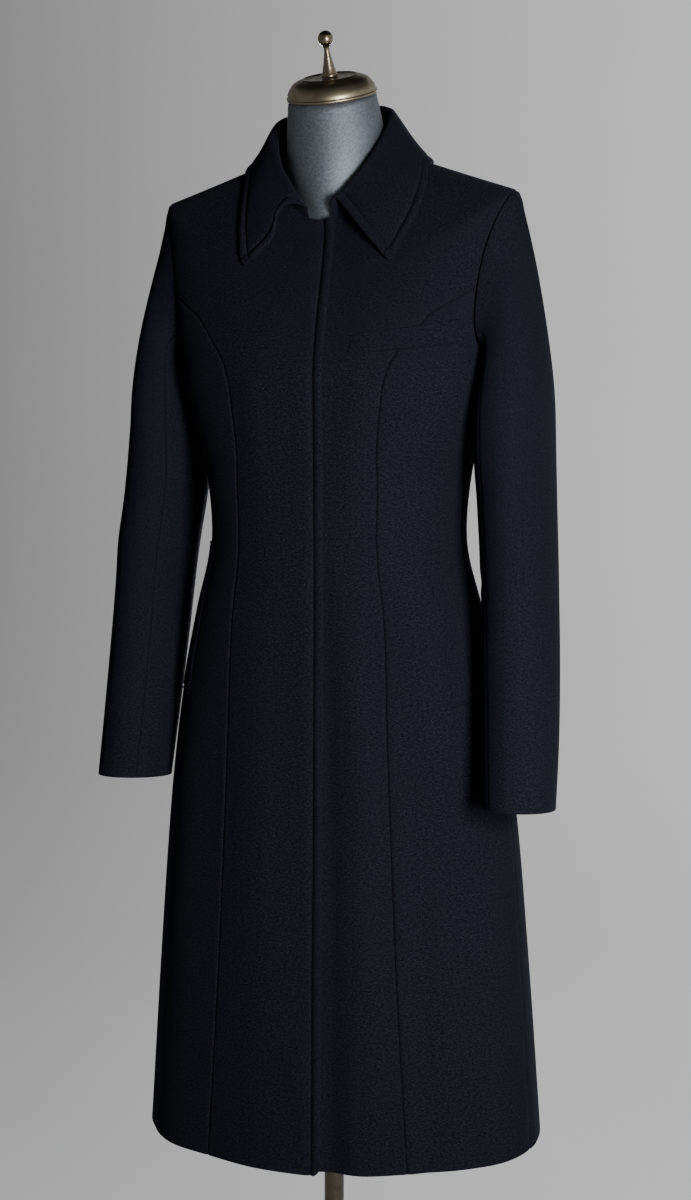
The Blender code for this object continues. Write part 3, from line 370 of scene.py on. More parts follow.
def closed_sheet(name, face, back, finish, turned_over):
    """A closed mesh between two grids of points that share their rims, with a map of the cloth in metres."""
    rows, columns = face.shape[:2]
    front_index = np.arange(rows * columns).reshape(rows, columns)
    back_index = front_index.copy()
    inner = (rows - 2) * (columns - 2)
    back_index[1:-1, 1:-1] = rows * columns + np.arange(inner).reshape(rows - 2, columns - 2)
    points = np.concatenate([face.reshape(-1, 3), back[1:-1, 1:-1].reshape(-1, 3)])

    def quads(index):
        return np.stack((index[:-1, :-1], index[:-1, 1:], index[1:, 1:], index[1:, :-1]), -1).reshape(-1, 4)

    faces = [quads(front_index), quads(back_index)[:, ::-1]]
    faces = np.concatenate([part[:, ::-1] for part in faces] if turned_over else faces)
    mesh = bpy.data.meshes.new(name)
    mesh.from_pydata(points.tolist(), [], faces.tolist())
    across = np.cumsum(np.linalg.norm(np.diff(face, axis=1, prepend=face[:, :1]), axis=-1), axis=1)
    across -= across[:, columns // 2, None]
    middle = face[:, columns // 2]
    along = np.cumsum(np.linalg.norm(np.diff(middle, axis=0, prepend=middle[:1]), axis=-1))
    along = np.broadcast_to(along[:, None], across.shape)
    flat = np.stack((across, along), -1)
    flat = np.concatenate([flat.reshape(-1, 2), flat[1:-1, 1:-1].reshape(-1, 2)])
    corner = np.empty(len(mesh.loops), np.int32)
    mesh.loops.foreach_get("vertex_index", corner)
    mesh.uv_layers.new(name="cloth").data.foreach_set("uv", flat[corner].astype(np.float32).ravel())
    mesh.shade_smooth()
    return new_piece(name, mesh, finish)


def new_piece(name, mesh, finish):
    piece = bpy.data.objects.new(name, mesh)
    mesh.materials.clear()
    mesh.materials.append(finish)
    bpy.context.scene.collection.objects.link(piece)
    return piece


def dress(piece, node_name):
    """Hangs a finished piece of cloth on the root body in place of its solid, and hides the solid."""
    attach(piece, "root")
    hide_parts(node_name)


def spots(length, near, far, count):
    """Distances along lines of given lengths: bands beside both ends, and count even steps between."""
    length = np.asarray(length, float)[..., None]
    shrink = np.minimum(1.0, 0.8 * length / (near[-1] + far[-1]))
    share = np.linspace(0, 1, count + 1)[1:-1]
    start, end = near[-1] * shrink, length - far[-1] * shrink
    return np.concatenate([near * shrink, start + (end - start) * share, (length - far * shrink)[..., ::-1]], -1)


def seam_bands():
    return np.concatenate([EDGE_STEPS, PRESS_STEPS])


def edge_bands(band):
    """Distances for a folded edge with a line of topstitching along it."""
    groove = band + np.array((-0.0030, -0.0016, -0.0007, 0.0, 0.0007, 0.0016, 0.0030))
    return np.concatenate([EDGE_STEPS, (0.0026, 0.0042, 0.0062), groove])


# A topstitched edge: rise, place and width of its roll, then fall and width of the thread's groove and of
# the cloth that it pulls in
ROLL_RISE, ROLL_AT, ROLL_WIDTH = 0.0016, 0.0046, 0.0040
GROOVE_FALL, GROOVE_WIDTH, PULL_FALL, PULL_WIDTH = 0.0019, 0.0017, 0.0005, 0.0045
PRESSED_FALL, PRESSED_WIDTH, SLEEVE_PRESSED_FALL = 0.0011, 0.0018, 0.0004


def stitched_rise(distance, band):
    """Rise beside a topstitched edge: a soft roll along the edge and a groove that the thread pulls in."""
    roll = ROLL_RISE * bell(distance - ROLL_AT, ROLL_WIDTH)
    return roll - GROOVE_FALL * bell(distance - band, GROOVE_WIDTH) - PULL_FALL * bell(distance - band, PULL_WIDTH)


def pressed(distance, depth=PRESSED_FALL):
    """Fall of the face towards a pressed seam."""
    return depth * bell(distance, PRESSED_WIDTH)


# ---------------------------------------------------------------- materials

def new_tree_group(name, inputs, outputs):
    """A shader node group with named sockets: inputs by name to type and default, outputs by name to type."""
    tree = bpy.data.node_groups.new(name, "ShaderNodeTree")
    for label, (kind, default) in inputs.items():
        socket = tree.interface.new_socket(label, in_out="INPUT", socket_type="NodeSocket" + kind)
        if default is not None:
            socket.default_value = default
    for label, kind in outputs.items():
        tree.interface.new_socket(label, in_out="OUTPUT", socket_type="NodeSocket" + kind)
    return tree, tree.nodes.new("NodeGroupInput"), tree.nodes.new("NodeGroupOutput")


def feed(tree, socket, value):
    """Gives an input a value, or links it to another node's socket."""
    if isinstance(value, bpy.types.NodeSocket):
        tree.links.new(value, socket)
    else:
        socket.default_value = value


def feed_all(tree, made, **inputs):
    """Feeds a node's inputs, named by their labels or as n and their number."""
    for label, value in inputs.items():
        numbered = label[0] == "n" and label[1:].isdigit()
        feed(tree, made.inputs[int(label[1:]) if numbered else label.replace("_", " ")], value)


def node(tree, kind, settings=None, **inputs):
    made = tree.nodes.new(kind)
    for label, value in (settings or {}).items():
        setattr(made, label, value)
    feed_all(tree, made, **inputs)
    return made


def maths(tree, operation, first, second):
    return node(tree, "ShaderNodeMath", {"operation": operation}, n0=first, n1=second).outputs[0]


def weighed(tree, first, share, second, other_share):
    """Sum of two values, each times its share."""
    return maths(tree, "ADD", maths(tree, "MULTIPLY", first, share), maths(tree, "MULTIPLY", second, other_share))


def noise_of(tree, vector, scale, detail, roughness=0.55):
    made = node(tree, "ShaderNodeTexNoise", None, Vector=vector, Scale=scale, Detail=detail, Roughness=roughness)
    return made.outputs["Fac"]


def between(tree, factor, low, high):
    """A value that runs from low to high as the factor runs from 0 to 1."""
    made = node(tree, "ShaderNodeMapRange", None, Value=factor)
    feed(tree, made.inputs["To Min"], low)
    feed(tree, made.inputs["To Max"], high)
    return made.outputs[0]


def mixed(tree, factor, first, second, how="MIX"):
    made = tree.nodes.new("ShaderNodeMix")
    made.data_type, made.blend_type = "RGBA", how
    for index, value in ((0, factor), (6, first), (7, second)):
        feed(tree, made.inputs[index], value)
    return made.outputs[2]


def toned(tree, colour, tone):
    """A colour made darker or lighter by a factor."""
    grey = node(tree, "ShaderNodeCombineColor", None, Red=tone, Green=tone, Blue=tone).outputs[0]
    return mixed(tree, 1.0, colour, grey, "MULTIPLY")


def contrast(tree, value, low, high):
    """A factor stretched so that low becomes 0 and high 1."""
    made = node(tree, "ShaderNodeMapRange", {"clamp": True}, Value=value)
    made.inputs["From Min"].default_value, made.inputs["From Max"].default_value = low, high
    return made.outputs[0]


def stretched(tree, vector, scale):
    return node(tree, "ShaderNodeMapping", None, Vector=vector, Scale=scale).outputs[0]


def napped_cloth():
    """Group: felted nap of a milled wool, with flecks of lighter fibre, soft clouding and a fibrous height."""
    name = "napped_cloth"
    if name in bpy.data.node_groups:
        return bpy.data.node_groups[name]
    tree, given, result = new_tree_group(
        name, {"Vector": ("Vector", None), "Ground": ("Color", (0.01, 0.01, 0.02, 1)),
               "Fleck": ("Color", (0.03, 0.03, 0.05, 1)), "Fibres per metre": ("Float", 700.0)},
        {"Colour": "Color", "Roughness": "Float", "Height": "Float"})
    vector, density = given.outputs["Vector"], given.outputs["Fibres per metre"]
    lying = stretched(tree, vector, (1.0, 0.55, 1.0))
    tangle = noise_of(tree, lying, density, 4.0, 0.65)
    curl = noise_of(tree, stretched(tree, vector, (0.6, 1.0, 1.0)), maths(tree, "MULTIPLY", density, 0.47),
                    3.0, 0.6)
    cloud = noise_of(tree, vector, 26.0, 3.0, 0.5)
    patch = noise_of(tree, vector, 5.5, 2.0, 0.5)
    fleck = maths(tree, "MULTIPLY", contrast(tree, tangle, 0.38, 0.72), contrast(tree, curl, 0.30, 0.66))
    colour = mixed(tree, fleck, given.outputs["Ground"], given.outputs["Fleck"])
    shade = maths(tree, "MULTIPLY", between(tree, cloud, 0.93, 1.07), between(tree, patch, 0.92, 1.08))
    colour = toned(tree, colour, shade)
    height = weighed(tree, tangle, 0.6, curl, 0.5)
    tree.links.new(colour, result.inputs["Colour"])
    tree.links.new(between(tree, tangle, 0.84, 0.98), result.inputs["Roughness"])
    tree.links.new(height, result.inputs["Height"])
    return tree


def worn_metal():
    """Group: brushed and aged metal, with tarnish that gathers in clouds, fine scratches and uneven gloss."""
    name = "worn_metal"
    if name in bpy.data.node_groups:
        return bpy.data.node_groups[name]
    tree, given, result = new_tree_group(
        name, {"Vector": ("Vector", None), "Brushing": ("Vector", (1.0, 1.0, 1.0)),
               "Bright": ("Color", (0.5, 0.4, 0.2, 1)), "Tarnish": ("Color", (0.1, 0.08, 0.05, 1)),
               "Age": ("Float", 0.4), "Gloss low": ("Float", 0.25), "Gloss high": ("Float", 0.5)},
        {"Colour": "Color", "Roughness": "Float", "Height": "Float"})
    vector = given.outputs["Vector"]
    brushed = node(tree, "ShaderNodeVectorMath", {"operation": "MULTIPLY"}, n0=vector,
                   n1=given.outputs["Brushing"]).outputs[0]
    lines = noise_of(tree, brushed, 1.0, 4.0, 0.7)
    cloud = noise_of(tree, vector, 75.0, 5.0, 0.6)
    speck = noise_of(tree, vector, 900.0, 2.0, 0.5)
    low = maths(tree, "SUBTRACT", 0.85, given.outputs["Age"])
    age = node(tree, "ShaderNodeMapRange", {"clamp": True}, Value=cloud)
    tree.links.new(low, age.inputs["From Min"])
    age.inputs["From Max"].default_value = 0.80
    stain = maths(tree, "MAXIMUM", maths(tree, "MULTIPLY", age.outputs[0], 0.75), contrast(tree, speck, 0.70, 0.80))
    colour = mixed(tree, stain, given.outputs["Bright"], given.outputs["Tarnish"])
    gloss = between(tree, weighed(tree, lines, 0.5, stain, 0.5), given.outputs["Gloss low"],
                    given.outputs["Gloss high"])
    tree.links.new(colour, result.inputs["Colour"])
    tree.links.new(gloss, result.inputs["Roughness"])
    tree.links.new(maths(tree, "ADD", lines, maths(tree, "MULTIPLY", cloud, 0.3)), result.inputs["Height"])
    return tree


def start_material(name):
    material = bpy.data.materials.new(name)
    material.use_nodes = True
    return material, material.node_tree, material.node_tree.nodes["Principled BSDF"]


def place_group(tree, group, **inputs):
    made = tree.nodes.new("ShaderNodeGroup")
    made.node_tree = group
    feed_all(tree, made, **inputs)
    return made


def bumped(tree, shader, height, strength, distance):
    bump = node(tree, "ShaderNodeBump", None, Strength=strength, Distance=distance, Height=height)
    tree.links.new(bump.outputs["Normal"], shader.inputs["Normal"])


def wool_finish():
    """Milled wool melton, very dark navy, with its nap lying down the cloth."""
    if "wool_melton" in bpy.data.materials:
        return bpy.data.materials["wool_melton"]
    cloth = bpy.context.scene.coat_cloth
    material, tree, shader = start_material("wool_melton")
    flat = node(tree, "ShaderNodeUVMap", {"uv_map": "cloth"}).outputs[0]
    nap = place_group(tree, napped_cloth(), Vector=flat, Ground=(*cloth.ground, 1), Fleck=(*cloth.fleck, 1),
                      Fibres_per_metre=cloth.fibres)
    bumped(tree, shader, nap.outputs["Height"], 0.55, 0.0006)
    feed_all(tree, shader, Base_Color=nap.outputs["Colour"], Roughness=nap.outputs["Roughness"],
             Specular_IOR_Level=0.04, Sheen_Weight=cloth.sheen, Sheen_Roughness=0.42,
             Sheen_Tint=(0.55, 0.62, 0.86, 1))
    return material


def thread_finish():
    """Waxed sewing thread in the coat's colour, with the twist of its two plies."""
    if "sewing_thread" in bpy.data.materials:
        return bpy.data.materials["sewing_thread"]
    sewing = bpy.context.scene.coat_sewing
    material, tree, shader = start_material("sewing_thread")
    place = node(tree, "ShaderNodeTexCoord").outputs["Object"]
    twist = noise_of(tree, stretched(tree, place, (1.0, 1.0, 2.6)), 1500.0, 2.0)
    dark, light = [0.6 * part for part in sewing.thread], [1.5 * part for part in sewing.thread]
    colour = mixed(tree, twist, (*dark, 1), (*light, 1))
    bumped(tree, shader, twist, 0.3, 0.0002)
    feed_all(tree, shader, Base_Color=colour, Roughness=between(tree, twist, 0.45, 0.7), Specular_IOR_Level=0.15)
    return material


def cover_finish():
    """Satin-faced cotton stretched over the form, blue-grey, with a fine slubbed weave."""
    if "stretched_satin" in bpy.data.materials:
        return bpy.data.materials["stretched_satin"]
    form = bpy.context.scene.form_look
    material, tree, shader = start_material("stretched_satin")
    flat = node(tree, "ShaderNodeUVMap", {"uv_map": "cloth"}).outputs[0]
    warp, weft = (node(tree, "ShaderNodeTexWave", {"bands_direction": way}, Vector=flat, Scale=420.0,
                       Distortion=1.2, Detail=2.0).outputs["Fac"] for way in "XY")
    slub = noise_of(tree, stretched(tree, flat, (1.0, 5.0, 1.0)), 130.0, 4.0, 0.6)
    grain = noise_of(tree, flat, 520.0, 3.0, 0.6)
    cloud = noise_of(tree, flat, 14.0, 3.0)
    tone = weighed(tree, slub, 0.45, grain, 0.55)
    dark, light = [0.50 * part for part in form.cover], [1.50 * part for part in form.cover]
    colour = mixed(tree, contrast(tree, tone, 0.30, 0.70), (*dark, 1), (*light, 1))
    feed_all(tree, shader, Base_Color=toned(tree, colour, between(tree, cloud, 0.90, 1.08)),
             Roughness=between(tree, grain, 0.58, 0.72), Metallic=0.92)
    weave = maths(tree, "ADD", maths(tree, "MULTIPLY", warp, weft), maths(tree, "MULTIPLY", grain, 0.8))
    bumped(tree, shader, weave, 0.14, 0.0002)
    return material


def metal_finish(name, bright, tarnish, age, gloss, brushing, turn=None, strength=0.12):
    """A metal of the stand or cap. brushing is how fine its lines are along each axis of the piece."""
    if name in bpy.data.materials:
        return bpy.data.materials[name]
    material, tree, shader = start_material(name)
    place = node(tree, "ShaderNodeTexCoord").outputs["Object"]
    if turn is not None:
        centre, lean = turn
        place = node(tree, "ShaderNodeMapping", {"vector_type": "TEXTURE"}, Vector=place, Location=centre,
                     Rotation=(lean, 0.0, 0.0)).outputs[0]
    worn = place_group(tree, worn_metal(), Vector=place, Brushing=brushing, Bright=(*bright, 1),
                       Tarnish=(*tarnish, 1), Age=age, Gloss_low=gloss[0], Gloss_high=gloss[1])
    bumped(tree, shader, worn.outputs["Height"], strength, 0.0003)
    feed_all(tree, shader, Base_Color=worn.outputs["Colour"], Roughness=worn.outputs["Roughness"], Metallic=1.0)
    return material


def enamel_finish():
    """Dark satin enamel on cast iron, with orange peel, dust in its hollows and rubbed places."""
    if "base_enamel" in bpy.data.materials:
        return bpy.data.materials["base_enamel"]
    look = bpy.context.scene.stand_look
    material, tree, shader = start_material("base_enamel")
    place = node(tree, "ShaderNodeTexCoord").outputs["Object"]
    peel = noise_of(tree, place, 420.0, 3.0, 0.5)
    casting = noise_of(tree, place, 60.0, 4.0, 0.6)
    dust = contrast(tree, noise_of(tree, place, 22.0, 5.0, 0.65), 0.46, 0.78)
    rubbed = contrast(tree, noise_of(tree, stretched(tree, place, (1.0, 1.0, 3.0)), 34.0, 6.0, 0.7), 0.62, 0.72)
    colour = mixed(tree, maths(tree, "MULTIPLY", dust, 0.35), (*look.enamel, 1), (0.16, 0.155, 0.145, 1))
    colour = mixed(tree, maths(tree, "MULTIPLY", rubbed, 0.30), colour, (0.10, 0.095, 0.088, 1))
    matt = weighed(tree, dust, 0.6, peel, 0.4)
    bumped(tree, shader, maths(tree, "ADD", peel, casting), 0.18, 0.0006)
    feed_all(tree, shader, Base_Color=colour, Roughness=between(tree, matt, 0.30, 0.62), Coat_Weight=0.25,
             Coat_Roughness=0.25)
    return material


# ---------------------------------------------------------------- trunk of the coat

EDGE_HOLD = 0.020           # lines of a panel keep their distance from its edge over this width
LEAST_REACH = 0.22          # share of the full metres per radian that an edge counts at least
FADE_LEAST, FADE_WIDTH = 0.35, 0.018        # share of a fold that is left at a seam, and how far that goes
TURN_UP, TURN_UP_HEIGHT = 0.0010, 0.040     # how much thicker the hem is inside, and up to where
DROP_WIDTH, DROP_LEVELS = 0.13, 0.9         # the upper front's drop dies away over these

def trunk_levels(top=NECK + 1):
    """Levels of a panel's rows: fine at the hem, even up the skirt, round the armhole by its curve, and
    even again up the slope."""
    marks = np.linspace(0, ARMPIT, 400)
    run = np.cumsum(np.linalg.norm(np.diff(body(math.radians(45), marks), axis=0, prepend=0), axis=-1))
    run -= run[0]
    hem = np.concatenate([EDGE_STEPS, (0.0022, 0.0040)])
    steps = np.linspace(0.008, run[-1], round(run[-1] / ROW_PITCH))
    skirt = np.interp(np.concatenate([hem, steps]), run, marks)
    turn = np.linspace(math.pi, 0, ARMHOLE_ROWS + 1)[1:]
    armhole = ARMHOLE_MIDDLE + ARMHOLE_HALF * np.cos(turn)
    slope = np.linspace(SHOULDER, NECK, 34)[1:]
    rim = NECK - np.array((0.060, 0.036, 0.016, 0.004, 0.0))
    levels = np.concatenate([skirt, armhole, slope[slope < rim[0] - 0.02], rim, [SIDE_FRONT_TIP]])
    return np.sort(levels[levels < top])


def distance_to(line, points):
    """Distance of each point of a grid from a line that has one point for each of the grid's rows."""
    window = 45     # rows of the line that are looked at to each side of a point's own row
    run = np.diff(line, axis=0)
    square = np.maximum((run * run).sum(-1), 1e-15)
    distance = np.empty(points.shape[:2])
    for r, row in enumerate(points):
        part = slice(max(0, r - window), min(len(run), r + window))
        offset = row[:, None] - line[:-1][part]
        share = np.clip((offset * run[part]).sum(-1) / square[part], 0, 1)
        distance[r] = np.linalg.norm(offset - share[..., None] * run[part], axis=-1).min(axis=1)
    return distance


def edge_reach(edge, level):
    """Metres per radian across an edge, square to its run, at each row."""
    line = body(edge, level)
    run = unit(np.gradient(line, axis=0))
    by_angle = body_slopes(edge, level)[0]
    reach = np.linalg.norm(np.cross(by_angle, run), axis=-1)
    return np.maximum(reach, LEAST_REACH * np.linalg.norm(by_angle, axis=-1))


def trunk_panel(name, side, levels, inner, outer, near, near_rise=None, sunk=None, drop=0.0,
                free_corner=False, keep_lines=()):
    """One panel of the trunk between two seams, on the wearer's left (side 1) or right (side -1)."""
    start, end = inner(levels), outer(levels)
    far = seam_bands()
    start_reach, end_reach = edge_reach(start, levels), edge_reach(end, levels)
    width = (end - start) * np.linalg.norm(body_slopes((start + end) / 2, levels)[0], axis=-1)
    count = max(4, round(float(np.median(width)) / COLUMN_PITCH))
    place = spots(width, near, far, count)
    from_start, from_end = place, width[:, None] - place
    # a distance becomes an angle by the reach of the nearer edge
    share = place / width[:, None]
    by_start = start[:, None] + from_start / start_reach[:, None]
    by_end = end[:, None] - from_end / end_reach[:, None]
    even = start[:, None] + (end - start)[:, None] * share
    hold, hold_end = bell(from_start, EDGE_HOLD), bell(from_end, EDGE_HOLD)
    angle = (even * (1 - hold) + by_start * hold) * (1 - hold_end) + by_end * hold_end
    angle = np.maximum.accumulate(angle, axis=1)
    level = np.broadcast_to(levels[:, None], angle.shape)
    points, normals = body(angle, level), body_normal(angle, level)

    left_distance = distance_to(body(start, levels), points)
    right_distance = distance_to(body(end, levels), points)
    metres_per_level = np.linalg.norm(body_slopes(math.radians(45), np.array((0.0, NECK)))[1], axis=-1)
    hem_distance = level * metres_per_level[0]
    neck_distance = (NECK - level) * metres_per_level[1]
    edge = np.maximum(np.minimum.reduce([left_distance, right_distance, hem_distance, neck_distance]), 0.0)

    rise = folds(side * angle, level) * ease(edge_fade(place, width)) - pressed(right_distance)
    rise += near_rise(left_distance) if near_rise else -pressed(left_distance)
    if sunk is not None:
        rise -= sunk(angle, level)
    fall = round_edge(edge)
    face = points + normals * (rise - fall)[..., None]
    back = points + normals * (rise - WALL + fall)[..., None]
    turn_up = TURN_UP * ease((TURN_UP_HEIGHT - hem_distance) / 0.004) * ease(hem_distance / 0.006)
    back = back - normals * (turn_up * ease(edge / 0.004))[..., None]
    for grid in (face, back):
        if drop:
            away = np.abs(grid[..., 0] - grid[:, :1, 0])
            grid[..., 2] -= drop * ease(1 - away / DROP_WIDTH) * ease(1 - level / DROP_LEVELS)
        if free_corner:
            round_corner(grid, place, hem_distance)
        grid[..., 0] *= side
        hang(grid)
    SEWING_LINES.update({label: face[3:-3, np.argmin(np.abs(near - distance))] for label, distance in keep_lines})
    piece = closed_sheet(name + "_cloth", face, back, wool_finish(), turned_over=side < 0)
    dress(piece, name)
    return piece


def edge_fade(place, width):
    """Folds die away towards a seam that is pressed flat."""
    nearest = np.minimum(place, width[:, None] - place)
    return FADE_LEAST + (1 - FADE_LEAST) * np.clip(nearest / FADE_WIDTH, 0, 1)


def round_corner(grid, place, from_hem):
    """Rounds a panel's lower corner, in its own surface."""
    radius = CORNER_RADIUS
    x, y = 1 - np.clip(place, 0, radius) / radius, 1 - np.clip(from_hem, 0, radius) / radius
    along = radius * (x - x * np.sqrt(1 - y * y / 2))
    up = radius * (y - y * np.sqrt(1 - x * x / 2))
    across = unit(grid[0, min(20, grid.shape[1] - 1)] - grid[0, 0])
    grid += along[..., None] * across + up[..., None] * np.array((0.0, 0.0, 1.0))


def under_sunk(angle, level):
    """How deep the under front lies behind the upper one."""
    upper = front_edge(0)(level)
    beyond = (angle - upper) * body(math.pi / 2, level)[..., 0]
    return (WALL + UNDER_GAP) * (1 - ease((beyond - 0.002) / UNDER_FADE))


# ---------------------------------------------------------------- sleeves

def sleeve_surface(rings):
    """Points of a sleeve from armhole to cuff, each row once round from the top over the front."""
    turn = 2 * math.pi * np.arange(TUBE_ROUND) / TUBE_ROUND
    guide_turn = 2 * math.pi * np.arange(SLEEVE_GUIDES) / SLEEVE_GUIDES

    def armhole(turns):
        level = ARMHOLE_MIDDLE + ARMHOLE_HALF * np.cos(turns)
        front = turns <= math.pi
        angle = np.where(front, armhole_angle(level, 1), armhole_angle(level, -1))
        return angle, level

    angle, level = armhole(guide_turn)
    guides, outward = body(angle, level), body_normal(angle, level)
    inward = unit(np.cross(outward, np.roll(guides, -1, axis=0) - np.roll(guides, 1, axis=0)))
    fold, reach, _, gap = table(SLEEVE_HEAD, np.degrees(guide_turn))
    fold = np.radians(fold)[:, None]
    leave = round_through(reach[:, None] * (inward * np.cos(fold) + outward * np.sin(fold)), TUBE_ROUND)
    tuck = round_through(inward * gap[:, None] * 0.3 - outward * 0.0004, TUBE_ROUND)
    start = body(*armhole(turn)) + tuck

    places = [-ring.z for ring in rings]
    steps = np.linspace(rings[0].z, rings[-1].z, round((rings[0].z - rings[-1].z) / ROW_PITCH) + 1)
    here = through(places, np.array(rings), -steps)
    z, x, y, half_side, half_fore, tilt = [column[:, None] for column in here.T]
    full = 1 + SLEEVE_FULLNESS * bell(np.degrees(turn) - FULL_AT, FULL_SPREAD) * ease((z - 1.0) / 0.09)
    lean, fore = np.radians(tilt), full * half_fore * np.sin(turn)
    tube = np.stack((x + full * half_side * np.cos(turn), y - fore * np.cos(lean), z + fore * np.sin(lean)), -1)

    arrive = tube[0] + np.stack((np.full(TUBE_ROUND, -0.002), np.zeros(TUBE_ROUND),
                                 table(SLEEVE_HEAD, np.degrees(turn))[2]), -1)
    t = np.linspace(0, 1, 46)[:-1, None, None]
    head = ((1 - t) ** 3 * start + 3 * t * (1 - t) ** 2 * (start + leave) + 3 * t * t * (1 - t) * arrive
            + t ** 3 * tube[0])
    return np.concatenate([head, tube])


def tube_normals(rows):
    """Outward normals of rows that run down and round a tube."""
    down = np.gradient(rows, axis=0)
    around = np.roll(rows, -1, axis=1) - np.roll(rows, 1, axis=1)
    return unit(np.cross(around, down))


def resample_rows(grid, bands_low, bands_high, pitch):
    """A grid again with bands of fine rows at its first and last row, at distances along its columns."""
    run = np.cumsum(np.linalg.norm(np.diff(grid[..., :3], axis=0, prepend=grid[:1, :, :3]), axis=-1), axis=0)
    count = max(4, round(float(np.median(run[-1])) / pitch))
    made = []
    for column in range(grid.shape[1]):
        place = spots(run[-1, column], bands_low, bands_high, count)
        made.append(np.stack([np.interp(place, run[:, column], value) for value in grid[:, column].T], -1))
    return np.stack(made, 1)


def resample(grid, near, far, low, high, pitch_across, pitch_along):
    """A grid of points and other values again, with fine bands beside its four edges."""
    grid = resample_rows(grid.transpose(1, 0, 2), near, far, pitch_across).transpose(1, 0, 2)
    return resample_rows(grid, low, high, pitch_along)


def rim_distance(from_near, from_far, from_low, from_high):
    """Distance of each place of a resampled grid from the nearest of its four edges."""
    return np.minimum(np.minimum(from_near, from_far)[None], np.minimum(from_low, from_high)[:, None])


def band_distance(count, near, far):
    """Distance of each line of a resampled grid from its first edge and from its last."""
    first, last = np.full(count, 1.0), np.full(count, 1.0)
    first[:len(near)], last[-len(far):] = near, far[::-1]
    return first, last


SLEEVE_FOLDS = (    # share of the way down, share of the way round, lengths down and round, rise
    (0.60, 0.13, 0.030, 0.045, 0.0016), (0.56, 0.40, 0.012, 0.030, -0.0022), (0.62, 0.42, 0.014, 0.034, -0.0020),
    (0.51, 0.44, 0.013, 0.028, -0.0016), (0.80, 0.20, 0.060, 0.022, 0.0012), (0.30, 0.30, 0.060, 0.020, -0.0018),
    (0.27, 0.75, 0.055, 0.022, -0.0016), (0.72, 0.68, 0.070, 0.024, 0.0014),
)


def make_sleeve(rings, side):
    label = "left" if side > 0 else "right"
    rows = sleeve_surface(rings)
    normals = tube_normals(rows)
    run = np.cumsum(np.linalg.norm(np.diff(rows, axis=0, prepend=rows[:1]), axis=-1), axis=0)
    share_down = run / run[-1]
    share_round = np.broadcast_to(np.arange(TUBE_ROUND) / TUBE_ROUND, share_down.shape)
    rise = np.zeros(share_down.shape)
    for down, around, length, width, height in SLEEVE_FOLDS:
        shift = 0.03 if side < 0 else 0.0
        away = (share_round - around - shift + 0.5) % 1 - 0.5
        rise += height * bell((share_down - down + shift) * 0.62, length) * bell(away * 0.36, width)
    # the head stands a little proud of the armhole's seam over the shoulder
    top = bell(((share_round + 0.5) % 1 - 0.5) * 0.5, 0.14)
    rise += 0.0012 * top * bell(run - 0.010, 0.009)
    grid = np.concatenate([rows, normals, rise[..., None]], -1)
    for part, first, last in (("under", FORE_SEAM, HIND_SEAM), ("upper", HIND_SEAM, FORE_SEAM + 1)):
        columns = np.arange(round(first * TUBE_ROUND), round(last * TUBE_ROUND) + 1) % TUBE_ROUND
        near = far = seam_bands()
        low = high = OPEN_STEPS
        piece = resample(grid[:, columns], near, far, low, high, COLUMN_PITCH, ROW_PITCH)
        from_near, from_far = band_distance(piece.shape[1], near, far)
        from_low, from_high = band_distance(piece.shape[0], low, high)
        edge = rim_distance(from_near, from_far, from_low, from_high)
        points, outward, swell = piece[..., :3], unit(piece[..., 3:6]), piece[..., 6]
        swell = (swell - pressed(np.minimum(from_near, from_far)[None], SLEEVE_PRESSED_FALL)
                 - pressed(from_low[:, None], SLEEVE_PRESSED_FALL))
        fall = round_edge(edge)
        face = points + outward * (swell - fall)[..., None]
        back = points + outward * (swell - WALL + fall)[..., None]
        for surface in (face, back):
            surface[..., 0] *= side
        name = label + "_sleeve_" + part
        made = closed_sheet(name + "_cloth", face, back, wool_finish(), turned_over=side > 0)
        dress(made, name)


# ---------------------------------------------------------------- collar

def collar_lines(turns, side):
    """Middle of the collar's cloth at angles round the neck, from the neck seam over the fold to the edge."""
    end = math.asin(COLLAR_END_X / RINGS[NECK, 3])
    place = np.degrees(math.pi * (turns - end) / (math.pi - end))
    neck = np.full(turns.shape, float(NECK))
    normal = body_normal(side * turns, neck)
    sunk = under_sunk(turns, neck) if side > 0 else np.zeros(turns.shape)
    seam = body(side * turns, neck) - normal * (WALL / 2 + sunk)[:, None]
    left_x, right_x, y, z = table(COLLAR_ROLL, place)
    crest = np.stack((left_x if side > 0 else -right_x, y, z), -1)
    left_angle, right_angle, level, bow = table(COLLAR_EDGE, place)
    along = np.radians(left_angle if side > 0 else -right_angle)
    out = body_normal(along, level)
    flat = 0.8 * ease((place - 40) / 28)
    edge = body(along, level) + out * (COLLAR_LIFT * (1 - flat) + WALL / 2)[:, None]
    away = (edge - crest) * np.array((1, 1, 0))
    away, end_share = unit(away), bell(place, COLLAR_END_SPREAD)[:, None]
    fold = COLLAR_FOLD_RADIUS + (COLLAR_END_FOLD[side > 0] - COLLAR_FOLD_RADIUS) * end_share
    down = fold * np.array((0, 0, 1))
    inner, outer = crest - away * fold - down, crest + away * fold - down
    belly = (outer + edge) / 2 + unit(out + np.array((0, 0, 0.3))) * bow[:, None]
    belly = belly + end_share * COLLAR_END_SAG[side > 0] * np.array((-side, 0, -0.8))
    lean = COLLAR_END_LEAN[side > 0] * end_share
    inner, crest, outer = (line + lean * np.array((x * side, 0, z))
                           for line, (x, z) in zip((inner, crest, outer), COLLAR_END_SHIFTS))
    guides = np.stack([seam, (seam + inner) / 2, inner, crest, outer, belly, edge])
    return through(np.arange(7), guides, np.linspace(0, 6, COLLAR_ROWS))


